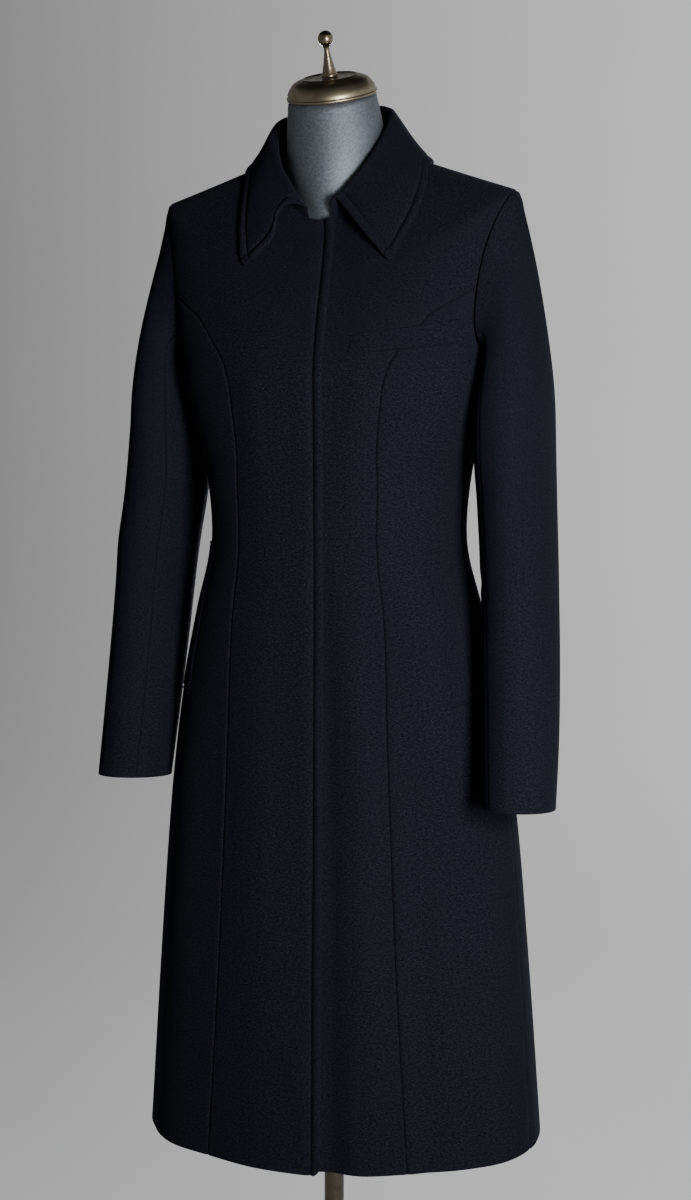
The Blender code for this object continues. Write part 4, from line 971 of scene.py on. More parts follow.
def make_collar():
    end = math.asin(COLLAR_END_X / RINGS[NECK, 3])
    turns = np.linspace(end, math.pi, COLLAR_COLUMNS)
    rows = np.concatenate([collar_lines(turns, -1), collar_lines(turns, 1)[:, -2::-1]], axis=1)
    down, across = np.gradient(rows, axis=0), np.gradient(rows, axis=1)
    normals = unit(np.cross(across, down))
    bands = edge_bands(COLLAR_BAND)
    low = OPEN_STEPS
    grid = resample(np.concatenate([rows, normals], -1), bands, bands, low, bands,
                    COLLAR_COLUMN_PITCH, COLLAR_ROW_PITCH)
    points, outward = grid[..., :3], unit(grid[..., 3:6])
    from_near, from_far = band_distance(grid.shape[1], bands, bands)
    from_low, from_high = band_distance(grid.shape[0], low, bands)
    from_front = np.minimum(from_near, from_far)[None]
    edge = rim_distance(from_near, from_far, from_low, from_high)
    along = np.linspace(0, 1, grid.shape[0])[:, None]
    front_rise = stitched_rise(from_front, COLLAR_BAND) * ease((along - 0.12) / 0.12)
    from_end = 1 - np.abs(np.linspace(-1, 1, grid.shape[1]))
    outer_rise = stitched_rise(from_high[:, None], COLLAR_BAND) * (1 - 0.75 * ease((from_end - 0.34) / 0.20))
    corner = (from_front < COLLAR_BAND) & (from_high[:, None] < COLLAR_BAND)
    both = np.minimum(front_rise, outer_rise) + np.maximum(np.maximum(front_rise, outer_rise), 0)
    rise = np.where(corner, 0.0006, both)
    fall = round_edge(edge)
    face = points + outward * (WALL / 2 + rise - fall)[..., None]
    back = points - outward * (WALL / 2 - fall)[..., None]
    for grid_points in (face, back):
        soften_tips(grid_points, bands)
    middle = len(bands) - 4
    SEWING_LINES["collar_right_end"] = face[face.shape[0] // 4:-middle, middle]
    SEWING_LINES["collar_left_end"] = face[face.shape[0] // 4:-middle, -1 - middle]
    SEWING_LINES["collar_fall"] = face[-1 - middle, middle:-middle]
    piece = closed_sheet("collar_cloth", face, back, wool_finish(), turned_over=True)
    dress(piece, "collar")


def soften_tips(grid, bands):
    """Rounds the collar's two points, in their own surface."""
    radius = COLLAR_TIP_RADIUS
    for corner in (grid, grid[:, ::-1]):
        tip = corner[-1, 0].copy()
        reach = len(bands)
        run_in = np.cumsum(np.linalg.norm(np.diff(corner[-1, :reach], axis=0, prepend=tip[None]), axis=-1))
        run_up = np.cumsum(np.linalg.norm(np.diff(corner[::-1][:reach, 0], axis=0, prepend=tip[None]), axis=-1))
        x = 1 - np.clip(run_in, 0, radius)[None] / radius
        y = 1 - np.clip(run_up, 0, radius)[:, None] / radius
        inwards = unit(corner[-1, reach] - tip)
        upwards = unit(corner[-1 - reach, 0] - tip)
        move = (radius * (x - x * np.sqrt(1 - y * y / 2)))[..., None] * inwards
        move = move + (radius * (y - y * np.sqrt(1 - x * x / 2)))[..., None] * upwards
        corner[::-1][:reach, :reach] += move


# ---------------------------------------------------------------- pockets

def make_welt(name, side, angles, low, high, rests_on, long_edge_thin=False):
    """A strip of cloth sewn on the body surface."""
    across = np.linspace(0, 1, 60)
    up = np.linspace(0, 1, 60 if not long_edge_thin else 90)[:, None]
    angle = np.radians(angles[0] + (angles[1] - angles[0]) * across) + 0 * up
    low_level = low[0] + (low[1] - low[0]) * across
    high_level = high[0] + (high[1] - high[0]) * across
    level = low_level + (high_level - low_level) * up
    lift = folds(side * angle, level)
    if side > 0:
        lift = lift - under_sunk(angle, level)
    grid = np.concatenate([body(angle, level), body_normal(angle, level), lift[..., None]], -1)
    steps = np.array((0.0, 0.07, 0.25, 0.55, 1.0, 1.6)) * POCKET_WALL / 2
    bands = np.concatenate([steps, (0.0018, 0.0021, 0.0024, 0.0028, 0.0032, 0.0038, 0.0050)])
    grid = resample(grid, bands, bands, bands, bands, 0.004, 0.004)
    points, outward, lift = grid[..., :3], unit(grid[..., 3:6]), grid[..., 6]
    from_near, from_far = band_distance(grid.shape[1], bands, bands)
    from_low, from_high = band_distance(grid.shape[0], bands, bands)
    edge = rim_distance(from_near, from_far, from_low, from_high)
    fall = round_edge(edge, POCKET_WALL / 2)
    run = np.linspace(0, 1, grid.shape[1])[None]
    wall, bottom = np.full(edge.shape, POCKET_WALL), np.full(edge.shape, POCKET_GAP)
    if long_edge_thin:
        # the long edges are felled down into the cloth, and only the two ends stand up
        bulge = ease(run / 0.38) * ease((1 - run) / 0.30)
        wall, bottom = wall * (0.45 + 0.30 * bulge), 0.6 * bottom * bulge - 0.0012 * (1 - bulge)
        from_end = np.minimum(from_low, from_high)[:, None]
        thick = 0.0012 * bulge * (1 - ease(from_end / 0.0080))
        wall, bottom = wall + thick - 0.0024 * bulge * bell(from_end - 0.0028, 0.0011), bottom - 0.7 * thick
    else:
        # the strip is sewn down at its ends and rolls over its lower edge
        felled = 1 - ease(run / 0.30)
        roll = 1 - ease(from_low / 0.0080)[:, None]
        crease = bell(from_low - 0.0021, 0.0010)[:, None] * (1 - 0.55 * felled)
        wall = wall * (1 - 0.30 * felled) * (0.80 + 0.20 * roll) + 0.0015 * roll
        wall = wall - 0.0026 * crease - 0.0010 * bell(from_far - 0.0022, 0.0011)
        bottom = bottom - 0.0013 * roll - 0.0011 * felled - 0.0004 * (1 - roll)
    fall = fall * wall / POCKET_WALL
    bottom = bottom[..., None]
    face = points + outward * (lift + wall - fall)[..., None] + outward * bottom
    back = points + outward * (lift + fall)[..., None] + outward * bottom
    for surface in (face, back):
        surface[..., 0] *= side
        hang(surface)
    if long_edge_thin:
        SEWING_LINES[name + "_start"], SEWING_LINES[name + "_end"] = face[9, 10:-10], face[-10, 10:-10]
    piece = closed_sheet(name + "_cloth", face, back, wool_finish(), turned_over=side < 0)
    dress(piece, name)


# ---------------------------------------------------------------- form

FORM_CLEAR = np.array((     # level, how far the cover lies inside the coat's back face
    (3.0, 0.018), (4.0, 0.020), (5.0, 0.018), (6.0, 0.012), (7.0, 0.008), (8.0, 0.006), (9.0, 0.006),
    (10.0, 0.006), (10.7, 0.006), (11.3, 0.0010), (12.0, 0.0004), (13.0, 0.0004), (13.5, 0.0006),
))
FORM_SLOPE_CLEAR = 0.0045
FORM_FRONT_CLEAR, FORM_FRONT_SPREAD = 0.0060, math.radians(20.0)
FORM_LEVELS = np.array((3.2, 3.6, 4.0, 4.5, 5.0, 5.5, 6.0, 6.5, 7.0, 7.5, 8.0, 8.5, 9.0, 9.6, 10.2, 10.7,
                        11.3, 11.8, 12.3, 12.8, 13.4))
FORM_NECK = (               # side_z front_z back_z half_width front_y back_y
    (1.3700, 1.3020, 1.3760, 0.0590, -0.0330, 0.0690),
    (1.3850, 1.3240, 1.3880, 0.0545, -0.0375, 0.0600),
    (1.4030, 1.3580, 1.4080, 0.0518, -0.0420, 0.0530),
)
CAP_CENTRE, CAP_LEAN = (-0.0015, 0.0, 1.4320), math.radians(20.0)
CAP_RADIUS, NECK_TOP_RADIUS = 0.0486, 0.0470
TURNED_GAP = 0.0003         # between two turned pieces
CAP_FRAME = Matrix.Translation(CAP_CENTRE) @ Matrix.Rotation(CAP_LEAN, 4, "X")
FORM_ROUND = 120


def form_rings():
    """Rings of the form's cover from its lower edge to the cap."""
    angle = 2 * math.pi * np.arange(FORM_ROUND) / FORM_ROUND
    front = np.minimum(angle, 2 * math.pi - angle)
    rings = []
    for level in FORM_LEVELS:
        clear = table(FORM_CLEAR, level)[0] + FORM_FRONT_CLEAR * bell(front, FORM_FRONT_SPREAD)
        clear = clear + FORM_SLOPE_CLEAR * np.abs(np.cos(angle)) ** 0.7 * ease((level - 10.7) / 0.6)
        rings.append(body(angle, level) - body_normal(angle, np.full(FORM_ROUND, level)) * (WALL + clear)[:, None])
    rings[0][:, 2] = rings[0][:, 2].min()
    for side_z, front_z, back_z, half_width, front_y, back_y in FORM_NECK:
        cosine = np.cos(angle)
        far_z = np.where(cosine > 0, front_z, back_z)
        rings.append(np.stack((half_width * np.sin(angle), (front_y + back_y) / 2 + (front_y - back_y) / 2 * cosine,
                               side_z + (far_z - side_z) * cosine ** 2), -1))
    rings.append(np.array([
        CAP_FRAME @ Vector((NECK_TOP_RADIUS * math.sin(a), -NECK_TOP_RADIUS * math.cos(a), -TURNED_GAP))
        for a in angle]))
    return np.array(rings)


def make_form():
    """The cover, pulled smooth over the padded trunk and tucked under the cap and over the lower board."""
    guides = form_rings()
    rings = through(np.arange(len(guides)), guides, np.linspace(0, len(guides) - 1, 190))
    under_z = rings[0][0, 2]
    inward = rings[0] * np.array((1, 1, 0)) + np.array((0, 0, under_z))
    centre = inward.mean(axis=0)
    fold = [centre + (inward - centre) * share + np.array((0, 0, lift))
            for share, lift in ((0.02, 0.0), (0.40, 0.0), (0.80, 0.0), (0.955, 0.0), (0.965, 0.0), (0.985, 0.0004),
                                (0.996, 0.0016))]
    lid_centre = np.array(CAP_FRAME @ Vector((0.0, 0.0, -TURNED_GAP)))
    lid = [lid_centre + (rings[-1] - lid_centre) * share for share in (0.98, 0.60, 0.02)]
    rings = np.concatenate([fold, rings, lid])
    columns, count = FORM_ROUND, len(rings)
    points = [*rings.reshape(-1, 3), rings[0].mean(axis=0), rings[-1].mean(axis=0)]
    faces = []
    for r in range(count - 1):
        for k in range(columns):
            n = (k + 1) % columns
            faces.append((r * columns + k, r * columns + n, (r + 1) * columns + n, (r + 1) * columns + k))
    for k in range(columns):
        n = (k + 1) % columns
        faces.append((len(points) - 2, n, k))
        faces.append((len(points) - 1, (count - 1) * columns + k, (count - 1) * columns + n))
    mesh = bpy.data.meshes.new("form_cover")
    mesh.from_pydata([list(map(float, p)) for p in points], [], faces)
    turn = np.arctan2(rings[..., 0], -(rings[..., 1] - POLE_BEHIND)) / (2 * math.pi)
    height = np.cumsum(np.linalg.norm(np.diff(rings, axis=0, prepend=rings[:1]), axis=-1).mean(axis=1))
    layer = mesh.uv_layers.new(name="cloth")
    seam_girth = 0.62
    flat = {}
    for r in range(count):
        for k in range(columns):
            flat[r * columns + k] = (turn[r, k] * seam_girth, height[r])
    flat[len(points) - 2], flat[len(points) - 1] = (0.0, height[0]), (0.0, height[-1])
    for polygon in mesh.polygons:
        places = [flat[v] for v in polygon.vertices]
        widest = max(place[0] for place in places)
        for loop, place in zip(polygon.loop_indices, places):
            u = place[0] + seam_girth if widest - place[0] > seam_girth / 2 else place[0]
            layer.data[loop].uv = (u, place[1])
    mesh.shade_smooth()
    piece = new_piece("form_cover", mesh, cover_finish())
    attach(piece, "root")
    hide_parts("form_torso")
    return piece


def arc(centre, radius, start, end, count):
    """Points of an arc in a profile, angles in degrees up from the horizontal."""
    return [(centre[0] + radius * math.cos(math.radians(a)), centre[1] + radius * math.sin(math.radians(a)))
            for a in np.linspace(start, end, count + 1)]


def circle(radius, z, count):
    """Points of a level circle round the upright axis."""
    turns = [2 * math.pi * k / count for k in range(count)]
    return [(radius * math.cos(turn), radius * math.sin(turn), z) for turn in turns]


def turned(name, profile, finish, frame_of=None, ring_shape=False, steps=TURN_STEPS):
    """A turned piece: a profile of radius and height, listed down its outer side, spun round its axis."""
    profile = np.array(profile)
    points, index = [], []
    for radius, height in profile:
        if radius < 1e-6:
            index.append([len(points)] * steps)
            points.append((0.0, 0.0, height))
        else:
            index.append(list(range(len(points), len(points) + steps)))
            points += circle(radius, height, steps)
    pairs = list(zip(index, index[1:])) + ([(index[-1], index[0])] if ring_shape else [])
    faces = []
    for upper, lower in pairs:
        for k in range(steps):
            n = (k + 1) % steps
            corners = [upper[k], lower[k], lower[n], upper[n]]
            faces.append([c for place, c in enumerate(corners) if c not in corners[:place]])
    if frame_of is not None:
        points = [tuple(frame_of @ Vector(point)) for point in points]
    mesh = bpy.data.meshes.new(name)
    mesh.from_pydata(points, [], faces)
    mesh.shade_smooth()
    mesh.set_sharp_from_angle(angle=math.radians(42))
    return new_piece(name, mesh, finish)


def stand_piece(piece, node_name):
    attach(piece, "root")
    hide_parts(node_name)


def make_cap():
    """Neck cap: a rolled lip, a domed side and a flat top with a raised ring round it."""
    look = bpy.context.scene.form_look
    finish = metal_finish("aged_brass", look.brass, (0.110, 0.094, 0.070), 0.42, (0.30, 0.52),
                          (900.0, 900.0, 26.0), (CAP_CENTRE, CAP_LEAN))
    heights = np.linspace(0, 1, 26)
    shoulder = through((0.0, 0.20, 0.42, 0.64, 0.84, 1.0),
                       np.array(((0.0302, 0.0204), (0.0352, 0.0189), (0.0402, 0.0163), (0.0440, 0.0121),
                                 (0.0467, 0.0076), (0.0475, 0.0038))), heights)
    profile = [(0.0, 0.0200), (0.0120, 0.0200), (0.0262, 0.0201), (0.0270, 0.0203), (0.0277, 0.0207),
               (0.0284, 0.0210), (0.0291, 0.0211), (0.0297, 0.0208)] + [tuple(place) for place in shoulder]
    lip = ((-0.0009, 0.0034), (-0.0003, 0.0031), (0.0, 0.0026), (0.0001, 0.0018), (-0.0002, 0.0008),
           (-0.0008, 0.0002), (-0.0014, 0.0))
    profile += [(CAP_RADIUS + out, z) for out, z in lip] + [(0.0, 0.0)]
    stand_piece(turned("neck_cap_spun", profile, finish, CAP_FRAME), "neck_cap")


def make_finial():
    look = bpy.context.scene.form_look
    finish = metal_finish("finial_bronze", look.finial, (0.060, 0.050, 0.038), 0.34, (0.20, 0.40),
                          (700.0, 700.0, 500.0), (CAP_CENTRE, CAP_LEAN), 0.08)
    foot = 0.0205 + TURNED_GAP
    ball_z, ball_radius = foot + 0.0385, 0.0081
    stem = [(radius, foot + rise) for radius, rise in (
        (0.0046, 0.0318), (0.0036, 0.0302), (0.0031, 0.0285), (0.0029, 0.0270), (0.0029, 0.0255), (0.0032, 0.0240),
        (0.0042, 0.0188), (0.0052, 0.0135), (0.0064, 0.0085), (0.0074, 0.0040), (0.0080, 0.0030), (0.0084, 0.0024),
        (0.0086, 0.0016), (0.0086, 0.0006), (0.0083, 0.0), (0.0, 0.0))]
    profile = [(0.0, ball_z + ball_radius)] + arc((0.0, ball_z), ball_radius, 82, -48, 22) + stem
    stand_piece(turned("finial_turned", profile, finish, CAP_FRAME, steps=64), "finial")


POLE_RADIUS, BASE_RADIUS, BASE_HEIGHT = 0.0111, 0.1950, 0.0300
SOCKET_RADIUS, SOCKET_TOP, SOCKET_FLOOR = 0.0190, 0.0620, 0.0200
HUB_RADIUS, HUB_HEIGHT = 0.0300, 0.0260


def make_pole():
    look = bpy.context.scene.stand_look
    finish = metal_finish("pole_metal", look.pole, (0.055, 0.048, 0.036), 0.30, (0.22, 0.42),
                          (600.0, 600.0, 9.0))
    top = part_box("pole")[1][2]
    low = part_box("pole")[0][2]
    bevel = 0.0006
    heights = np.linspace(top - bevel, low + bevel, 60)
    profile = [(0.0, top), (POLE_RADIUS - bevel, top)] + [(POLE_RADIUS, z) for z in heights]
    profile += [(POLE_RADIUS - bevel, low), (0.0, low)]
    stand_piece(turned("pole_tube", profile, finish), "pole")
    bore, hub_low = POLE_RADIUS + TURNED_GAP, top - HUB_HEIGHT
    hub = [(radius, top - fall) for radius, fall in (
        (bore, 0.0), (HUB_RADIUS - bevel, 0.0), (HUB_RADIUS, bevel), (HUB_RADIUS, 0.0034),
        (HUB_RADIUS - 0.0008, 0.0042), (0.0215, 0.0064), (0.0185, 0.0090), (0.0172, 0.0130))]
    hub += [(radius, hub_low + rise) for radius, rise in (
        (0.0166, 0.0040), (0.0164, 0.0018), (0.0150, 0.0002), (0.0140, 0.0), (bore, 0.0))]
    stand_piece(turned("pole_hub_turned", hub, finish, ring_shape=True), "pole_hub")


def make_base():
    bore = POLE_RADIUS + TURNED_GAP
    rim = arc((BASE_RADIUS - 0.006, 0.006), 0.006, 70, -90, 16)
    profile = [(0.0, SOCKET_FLOOR), (bore, SOCKET_FLOOR), (bore, SOCKET_TOP - 0.0006), (bore + 0.0006, SOCKET_TOP),
               (SOCKET_RADIUS - 0.0022, SOCKET_TOP), (SOCKET_RADIUS - 0.0008, SOCKET_TOP - 0.0006),
               (SOCKET_RADIUS, SOCKET_TOP - 0.0020), (SOCKET_RADIUS, BASE_HEIGHT + 0.0100),
               (SOCKET_RADIUS + 0.0008, BASE_HEIGHT + 0.0062), (SOCKET_RADIUS + 0.0030, BASE_HEIGHT + 0.0036),
               (SOCKET_RADIUS + 0.0062, BASE_HEIGHT + 0.0020)]
    dome = through(np.array((0.0252, 0.060, 0.120, 0.165, 0.1885)),
                   np.array(((BASE_HEIGHT + 0.0020,), (BASE_HEIGHT - 0.0040,), (BASE_HEIGHT - 0.0110,),
                             (BASE_HEIGHT - 0.0165,), (0.0124,))), np.linspace(0.030, 0.1885, 34))[:, 0]
    profile += list(zip(np.linspace(0.030, 0.1885, 34), dome))
    profile += rim + [(0.0, 0.0)]
    stand_piece(turned("base_cast", profile, enamel_finish(), steps=144), "base")


# ---------------------------------------------------------------- topstitching

def stitch_tree():
    """Geometry Nodes: one small stitch of thread after another along each line of the mesh."""
    tree = bpy.data.node_groups.new("stitches_along_lines", "GeometryNodeTree")
    sockets = {}
    for label, kind, default in (("Geometry", "Geometry", None), ("Stitch length", "Float", 0.0028),
                                 ("Gap", "Float", 0.0008), ("Thread radius", "Float", 0.00028),
                                 ("Unevenness", "Float", 0.12), ("Thread", "Material", None)):
        socket = tree.interface.new_socket(label, in_out="INPUT", socket_type="NodeSocket" + kind)
        if default is not None:
            socket.default_value = default
        sockets[label] = socket.identifier
    tree.interface.new_socket("Geometry", in_out="OUTPUT", socket_type="NodeSocketGeometry")
    given, result = tree.nodes.new("NodeGroupInput"), tree.nodes.new("NodeGroupOutput")
    length, gap, radius = (given.outputs[label] for label in ("Stitch length", "Gap", "Thread radius"))
    line = node(tree, "GeometryNodeMeshToCurve", None, Mesh=given.outputs["Geometry"]).outputs[0]
    pitch = maths(tree, "ADD", length, gap)
    line = node(tree, "GeometryNodeResampleCurve", {"mode": "LENGTH"}, Curve=line, Length=pitch).outputs[0]
    ball = node(tree, "GeometryNodeMeshUVSphere", None, Segments=6, Rings=5, Radius=1.0).outputs["Mesh"]
    size = node(tree, "ShaderNodeCombineXYZ", None, X=maths(tree, "MULTIPLY", length, 0.5), Y=radius, Z=radius)
    stitch = node(tree, "GeometryNodeTransform", None, Geometry=ball, Scale=size.outputs[0]).outputs[0]
    run = node(tree, "GeometryNodeInputTangent").outputs[0]
    turn = node(tree, "FunctionNodeAlignRotationToVector", {"axis": "X"}, Vector=run).outputs[0]
    low = maths(tree, "SUBTRACT", 1.0, given.outputs["Unevenness"])
    uneven = node(tree, "FunctionNodeRandomValue", {"data_type": "FLOAT"})
    uneven.inputs["Seed"].default_value = 7
    tree.links.new(low, uneven.inputs[2])
    uneven.inputs[3].default_value = 1.0
    placed = node(tree, "GeometryNodeInstanceOnPoints", None, Points=line, Instance=stitch, Rotation=turn,
                  Scale=uneven.outputs[1]).outputs[0]
    real = node(tree, "GeometryNodeRealizeInstances", None, Geometry=placed).outputs[0]
    finished = node(tree, "GeometryNodeSetMaterial", None, Geometry=real, Material=given.outputs["Thread"])
    tree.links.new(finished.outputs[0], result.inputs[0])
    return tree, sockets


def make_stitches():
    """Turns all the kept sewing lines into one mesh of stitches."""
    if not SEWING_LINES:
        raise RuntimeError("the topstitching needs the fronts, the collar and the pockets first")
    sewing = bpy.context.scene.coat_sewing
    points, edges = [], []
    for line in SEWING_LINES.values():
        edges += [(len(points) + k, len(points) + k + 1) for k in range(len(line) - 1)]
        points += line.tolist()
    mesh = bpy.data.meshes.new("sewing_lines")
    mesh.from_pydata(points, edges, [])
    lines = bpy.data.objects.new("sewing_lines", mesh)
    bpy.context.scene.collection.objects.link(lines)
    tree, sockets = stitch_tree()
    modifier = lines.modifiers.new("stitches", "NODES")
    modifier.node_group = tree
    for label, value in (("Stitch length", sewing.stitch), ("Gap", sewing.gap), ("Unevenness", 0.12),
                         ("Thread radius", sewing.thread_radius), ("Thread", thread_finish())):
        modifier[sockets[label]] = value
    bpy.context.view_layer.update()
    evaluated = lines.evaluated_get(bpy.context.evaluated_depsgraph_get())
    made = bpy.data.meshes.new_from_object(evaluated)
    lines.modifiers.remove(modifier)
    bpy.data.objects.remove(lines)
    made.shade_smooth()
    piece = new_piece("topstitching", made, thread_finish())
    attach(piece, "root")


# ---------------------------------------------------------------- stage

def area_light(name, place, aim, size, power, colour, spread=math.pi):
    data = bpy.data.lights.new(name, "AREA")
    data.shape, data.size, data.size_y = "RECTANGLE", *size
    data.energy, data.color, data.spread = power, colour, spread
    light = bpy.data.objects.new(name, data)
    light.location = place
    light.visible_camera = False
    light.rotation_euler = (Vector(aim) - Vector(place)).to_track_quat("-Z", "Y").to_euler()
    bpy.context.scene.collection.objects.link(light)


def make_stage():
    """A pale floor sweeping up into a wall, glowing with painted light that is brighter at the picture's right;
    soft studio lights; the camera.
    """
    look = bpy.context.scene.stage_look
    floor, cove, wall_top, count = 3.0, 1.1, 4.6, 72     # radii of the floor and of its curve up, and columns
    profile = [(0.4, 0.0), (floor, 0.0)]
    profile += [(floor + cove * math.sin(a), cove - cove * math.cos(a))
                for a in np.linspace(0, math.pi / 2, 25)[1:]]
    profile += [(floor + cove, wall_top)]
    points = [point for radius, z in profile for point in circle(radius, z, count)] + [(0.0, 0.0, 0.0)]
    faces = [(r * count + k, (r + 1) * count + k, (r + 1) * count + (k + 1) % count, r * count + (k + 1) % count)
             for r in range(len(profile) - 1) for k in range(count)]
    faces += [(len(points) - 1, k, (k + 1) % count) for k in range(count)]
    mesh = bpy.data.meshes.new("pale_sweep")
    mesh.from_pydata(points, [], faces)
    mesh.shade_smooth()
    material, tree, shader = start_material("pale_sweep")
    place = node(tree, "ShaderNodeTexCoord").outputs["Object"]
    tone = between(tree, noise_of(tree, place, 2.0, 2.0), 0.97, 1.03)
    colour = toned(tree, (*look.sweep, 1), tone)
    feed_all(tree, shader, Base_Color=colour, Emission_Color=colour, Roughness=0.85)
    # the room's own glow is seen and mirrored, and is held back from the cloth
    across = node(tree, "ShaderNodeVectorMath", {"operation": "DOT_PRODUCT"}, n0=place,
                  # painted light: the sweep glows, brighter towards the picture's right, in place of lamp light
                  # falling on it; the camera sees this glow, metal mirrors a share of it, and it is held back from
                  # the cloth
                  n1=(math.cos(look.camera_side), math.sin(look.camera_side), 0.0)).outputs["Value"]
    painted_glow = between(tree, contrast(tree, across, -1.3, 1.3), look.painted_glow_left, look.painted_glow_right)
    path = node(tree, "ShaderNodeLightPath")
    seen = maths(tree, "ADD", path.outputs["Is Camera Ray"],
                 maths(tree, "MULTIPLY", path.outputs["Is Glossy Ray"], look.mirrored))
    tree.links.new(maths(tree, "MULTIPLY", painted_glow, seen), shader.inputs["Emission Strength"])
    # from outside and from below it is clear
    clear = node(tree, "ShaderNodeBsdfTransparent").outputs[0]
    behind = node(tree, "ShaderNodeNewGeometry").outputs["Backfacing"]
    surface = node(tree, "ShaderNodeMixShader", None, n0=behind, n1=shader.outputs[0], n2=clear).outputs[0]
    output = next(item for item in tree.nodes if item.type == "OUTPUT_MATERIAL")
    tree.links.new(surface, output.inputs["Surface"])
    sweep = new_piece("pale_sweep", mesh, material)

    world = bpy.data.worlds.new("soft_room")
    world.use_nodes = True
    feed_all(world.node_tree, world.node_tree.nodes["Background"], Color=(0.86, 0.90, 1.0, 1),
             Strength=look.ambient)
    bpy.context.scene.world = world
    area_light("key", (1.09, -1.20, 1.06), (0.0, 0.0, 0.90), (0.45, 0.6), look.key, (1.0, 0.99, 0.97))
    area_light("fill", (-1.9, -2.3, 1.5), (0.0, 0.0, 0.90), (0.9, 1.8), look.fill, (0.90, 0.94, 1.0))
    # straight behind the coat as the camera sees it, so that it lights the back alone
    area_light("rear", (-2.3 * math.sin(look.camera_side), 2.3 * math.cos(look.camera_side), 1.3), (0.0, 0.0, 0.9),
               (0.9, 1.2), look.rear, (0.96, 0.98, 1.0), math.radians(80))

    data = bpy.data.cameras.new("camera")
    data.sensor_width = 36.0
    data.lens = look.lens
    camera = bpy.data.objects.new("camera", data)
    side, tilt = look.camera_side, look.camera_tilt
    back = Vector((math.sin(side), -math.cos(side), 0.0))
    right = Vector((math.cos(side), math.sin(side), 0.0))
    camera.location = Vector((0.0, POLE_BEHIND, look.camera_height)) + back * look.camera_distance + right * 0.0067
    camera.rotation_euler = (math.pi / 2 - tilt, 0.0, side)
    bpy.context.scene.collection.objects.link(camera)
    bpy.context.scene.camera = camera


# ---------------------------------------------------------------- values that a user may change

def colour_value(name, description, default):
    return FloatVectorProperty(name=name, description=description, subtype="COLOR", default=default, min=0, max=1)


def amount(name, description, default, **more):
    return FloatProperty(name=name, description=description, default=default, **more)


class CoatCloth(bpy.types.PropertyGroup):
    ground: colour_value("Ground", "Colour in the depth of the nap", (0.0048, 0.0051, 0.0088))
    fleck: colour_value("Fleck", "Colour of the fibres that catch the light", (0.0315, 0.0335, 0.0500))
    fibres: amount("Fibres per metre", "How fine the felted nap is", 1100.0, min=100.0, max=3000.0)
    sheen: amount("Sheen", "Soft light that the nap gives at its edges", 0.05, min=0.0, max=1.0,
                  subtype="FACTOR")
    fold_strength: amount("Folds", "Share of the hung folds' height", 1.0, min=0.0, max=2.0, subtype="FACTOR")


class CoatSewing(bpy.types.PropertyGroup):
    stitch: amount("Stitch", "Length of one stitch", 0.0030, min=0.001, max=0.01, unit="LENGTH", precision=4)
    gap: amount("Gap", "Space between two stitches", 0.0009, min=0.0002, max=0.01, unit="LENGTH", precision=4)
    thread_radius: amount("Thread radius", "Half the thread's thickness", 0.00024, min=0.0001, max=0.001,
                          unit="LENGTH", precision=5)
    thread: colour_value("Thread", "Colour of the sewing thread", (0.0040, 0.0044, 0.0075))


class FormLook(bpy.types.PropertyGroup):
    cover: colour_value("Cover", "Colour of the cloth on the form", (0.170, 0.194, 0.222))
    brass: colour_value("Cap", "Colour of the neck cap's brass", (0.350, 0.300, 0.205))
    finial: colour_value("Finial", "Colour of the finial's bronze", (0.270, 0.222, 0.150))


class StandLook(bpy.types.PropertyGroup):
    pole: colour_value("Pole", "Colour of the pole's plating", (0.120, 0.106, 0.080))
    enamel: colour_value("Base", "Colour of the base's enamel", (0.030, 0.029, 0.027))


class StageLook(bpy.types.PropertyGroup):
    sweep: colour_value("Floor", "Colour of the floor and wall", (0.12, 0.12, 0.12))
    key: amount("Key light", "Power of the light in front, to the wearer's left", 34.0, min=0.0, unit="POWER")
    rear: amount("Rear light", "Power of the light behind", 15.0, min=0.0, unit="POWER")
    fill: amount("Fill light", "Power of the light to the wearer's right", 0.12, min=0.0, unit="POWER")
    # painted light: the sweep's glow runs from the first value at the picture's left to the second at its right, in
    # place of lamp light falling on the wall, and metal mirrors a share of it
    painted_glow_left: amount("Glow left", "Glow of the wall at the picture's left", 1.95, min=0.0, max=10.0)
    painted_glow_right: amount("Glow right", "Glow of the wall at the picture's right", 5.7, min=0.0, max=10.0)
    mirrored: amount("Mirrored glow", "Share of the glow that metal mirrors", 0.80, min=0.0, max=1.0)
    ambient: amount("Ambient", "Strength of the light from all round", 0.015, min=0.0, max=5.0)
    camera_side: amount("Camera angle", "Angle round the coat to the wearer's left", math.radians(19.3),
                        subtype="ANGLE")
    camera_tilt: amount("Camera tilt", "Angle that the camera looks down by", math.radians(6.2),
                        subtype="ANGLE")
    camera_distance: amount("Camera distance", "Level distance from the trunk's middle", 1.9, min=0.5,
                            unit="LENGTH")
    camera_height: amount("Camera height", "Height above the floor", 1.10, min=0.0, unit="LENGTH")
    lens: amount("Lens", "Focal length in millimetres", 51.99, min=10.0, max=300.0)


# ---------------------------------------------------------------- operators

class DRESSFORM_OT_cover(bpy.types.Operator):
    """Make the padded trunk's smooth cloth cover"""
    bl_idname, bl_label = "dressform.cover", "Form cover"

    def execute(self, context):
        make_form()
        return {"FINISHED"}


class DRESSFORM_OT_cap(bpy.types.Operator):
    """Make the brass neck cap and its finial"""
    bl_idname, bl_label = "dressform.cap", "Neck cap and finial"

    def execute(self, context):
        make_cap()
        make_finial()
        return {"FINISHED"}


class DRESSFORM_OT_stand(bpy.types.Operator):
    """Make the pole with its hub, and the round base"""
    bl_idname, bl_label = "dressform.stand", "Pole and base"

    def execute(self, context):
        make_pole()
        make_base()
        return {"FINISHED"}


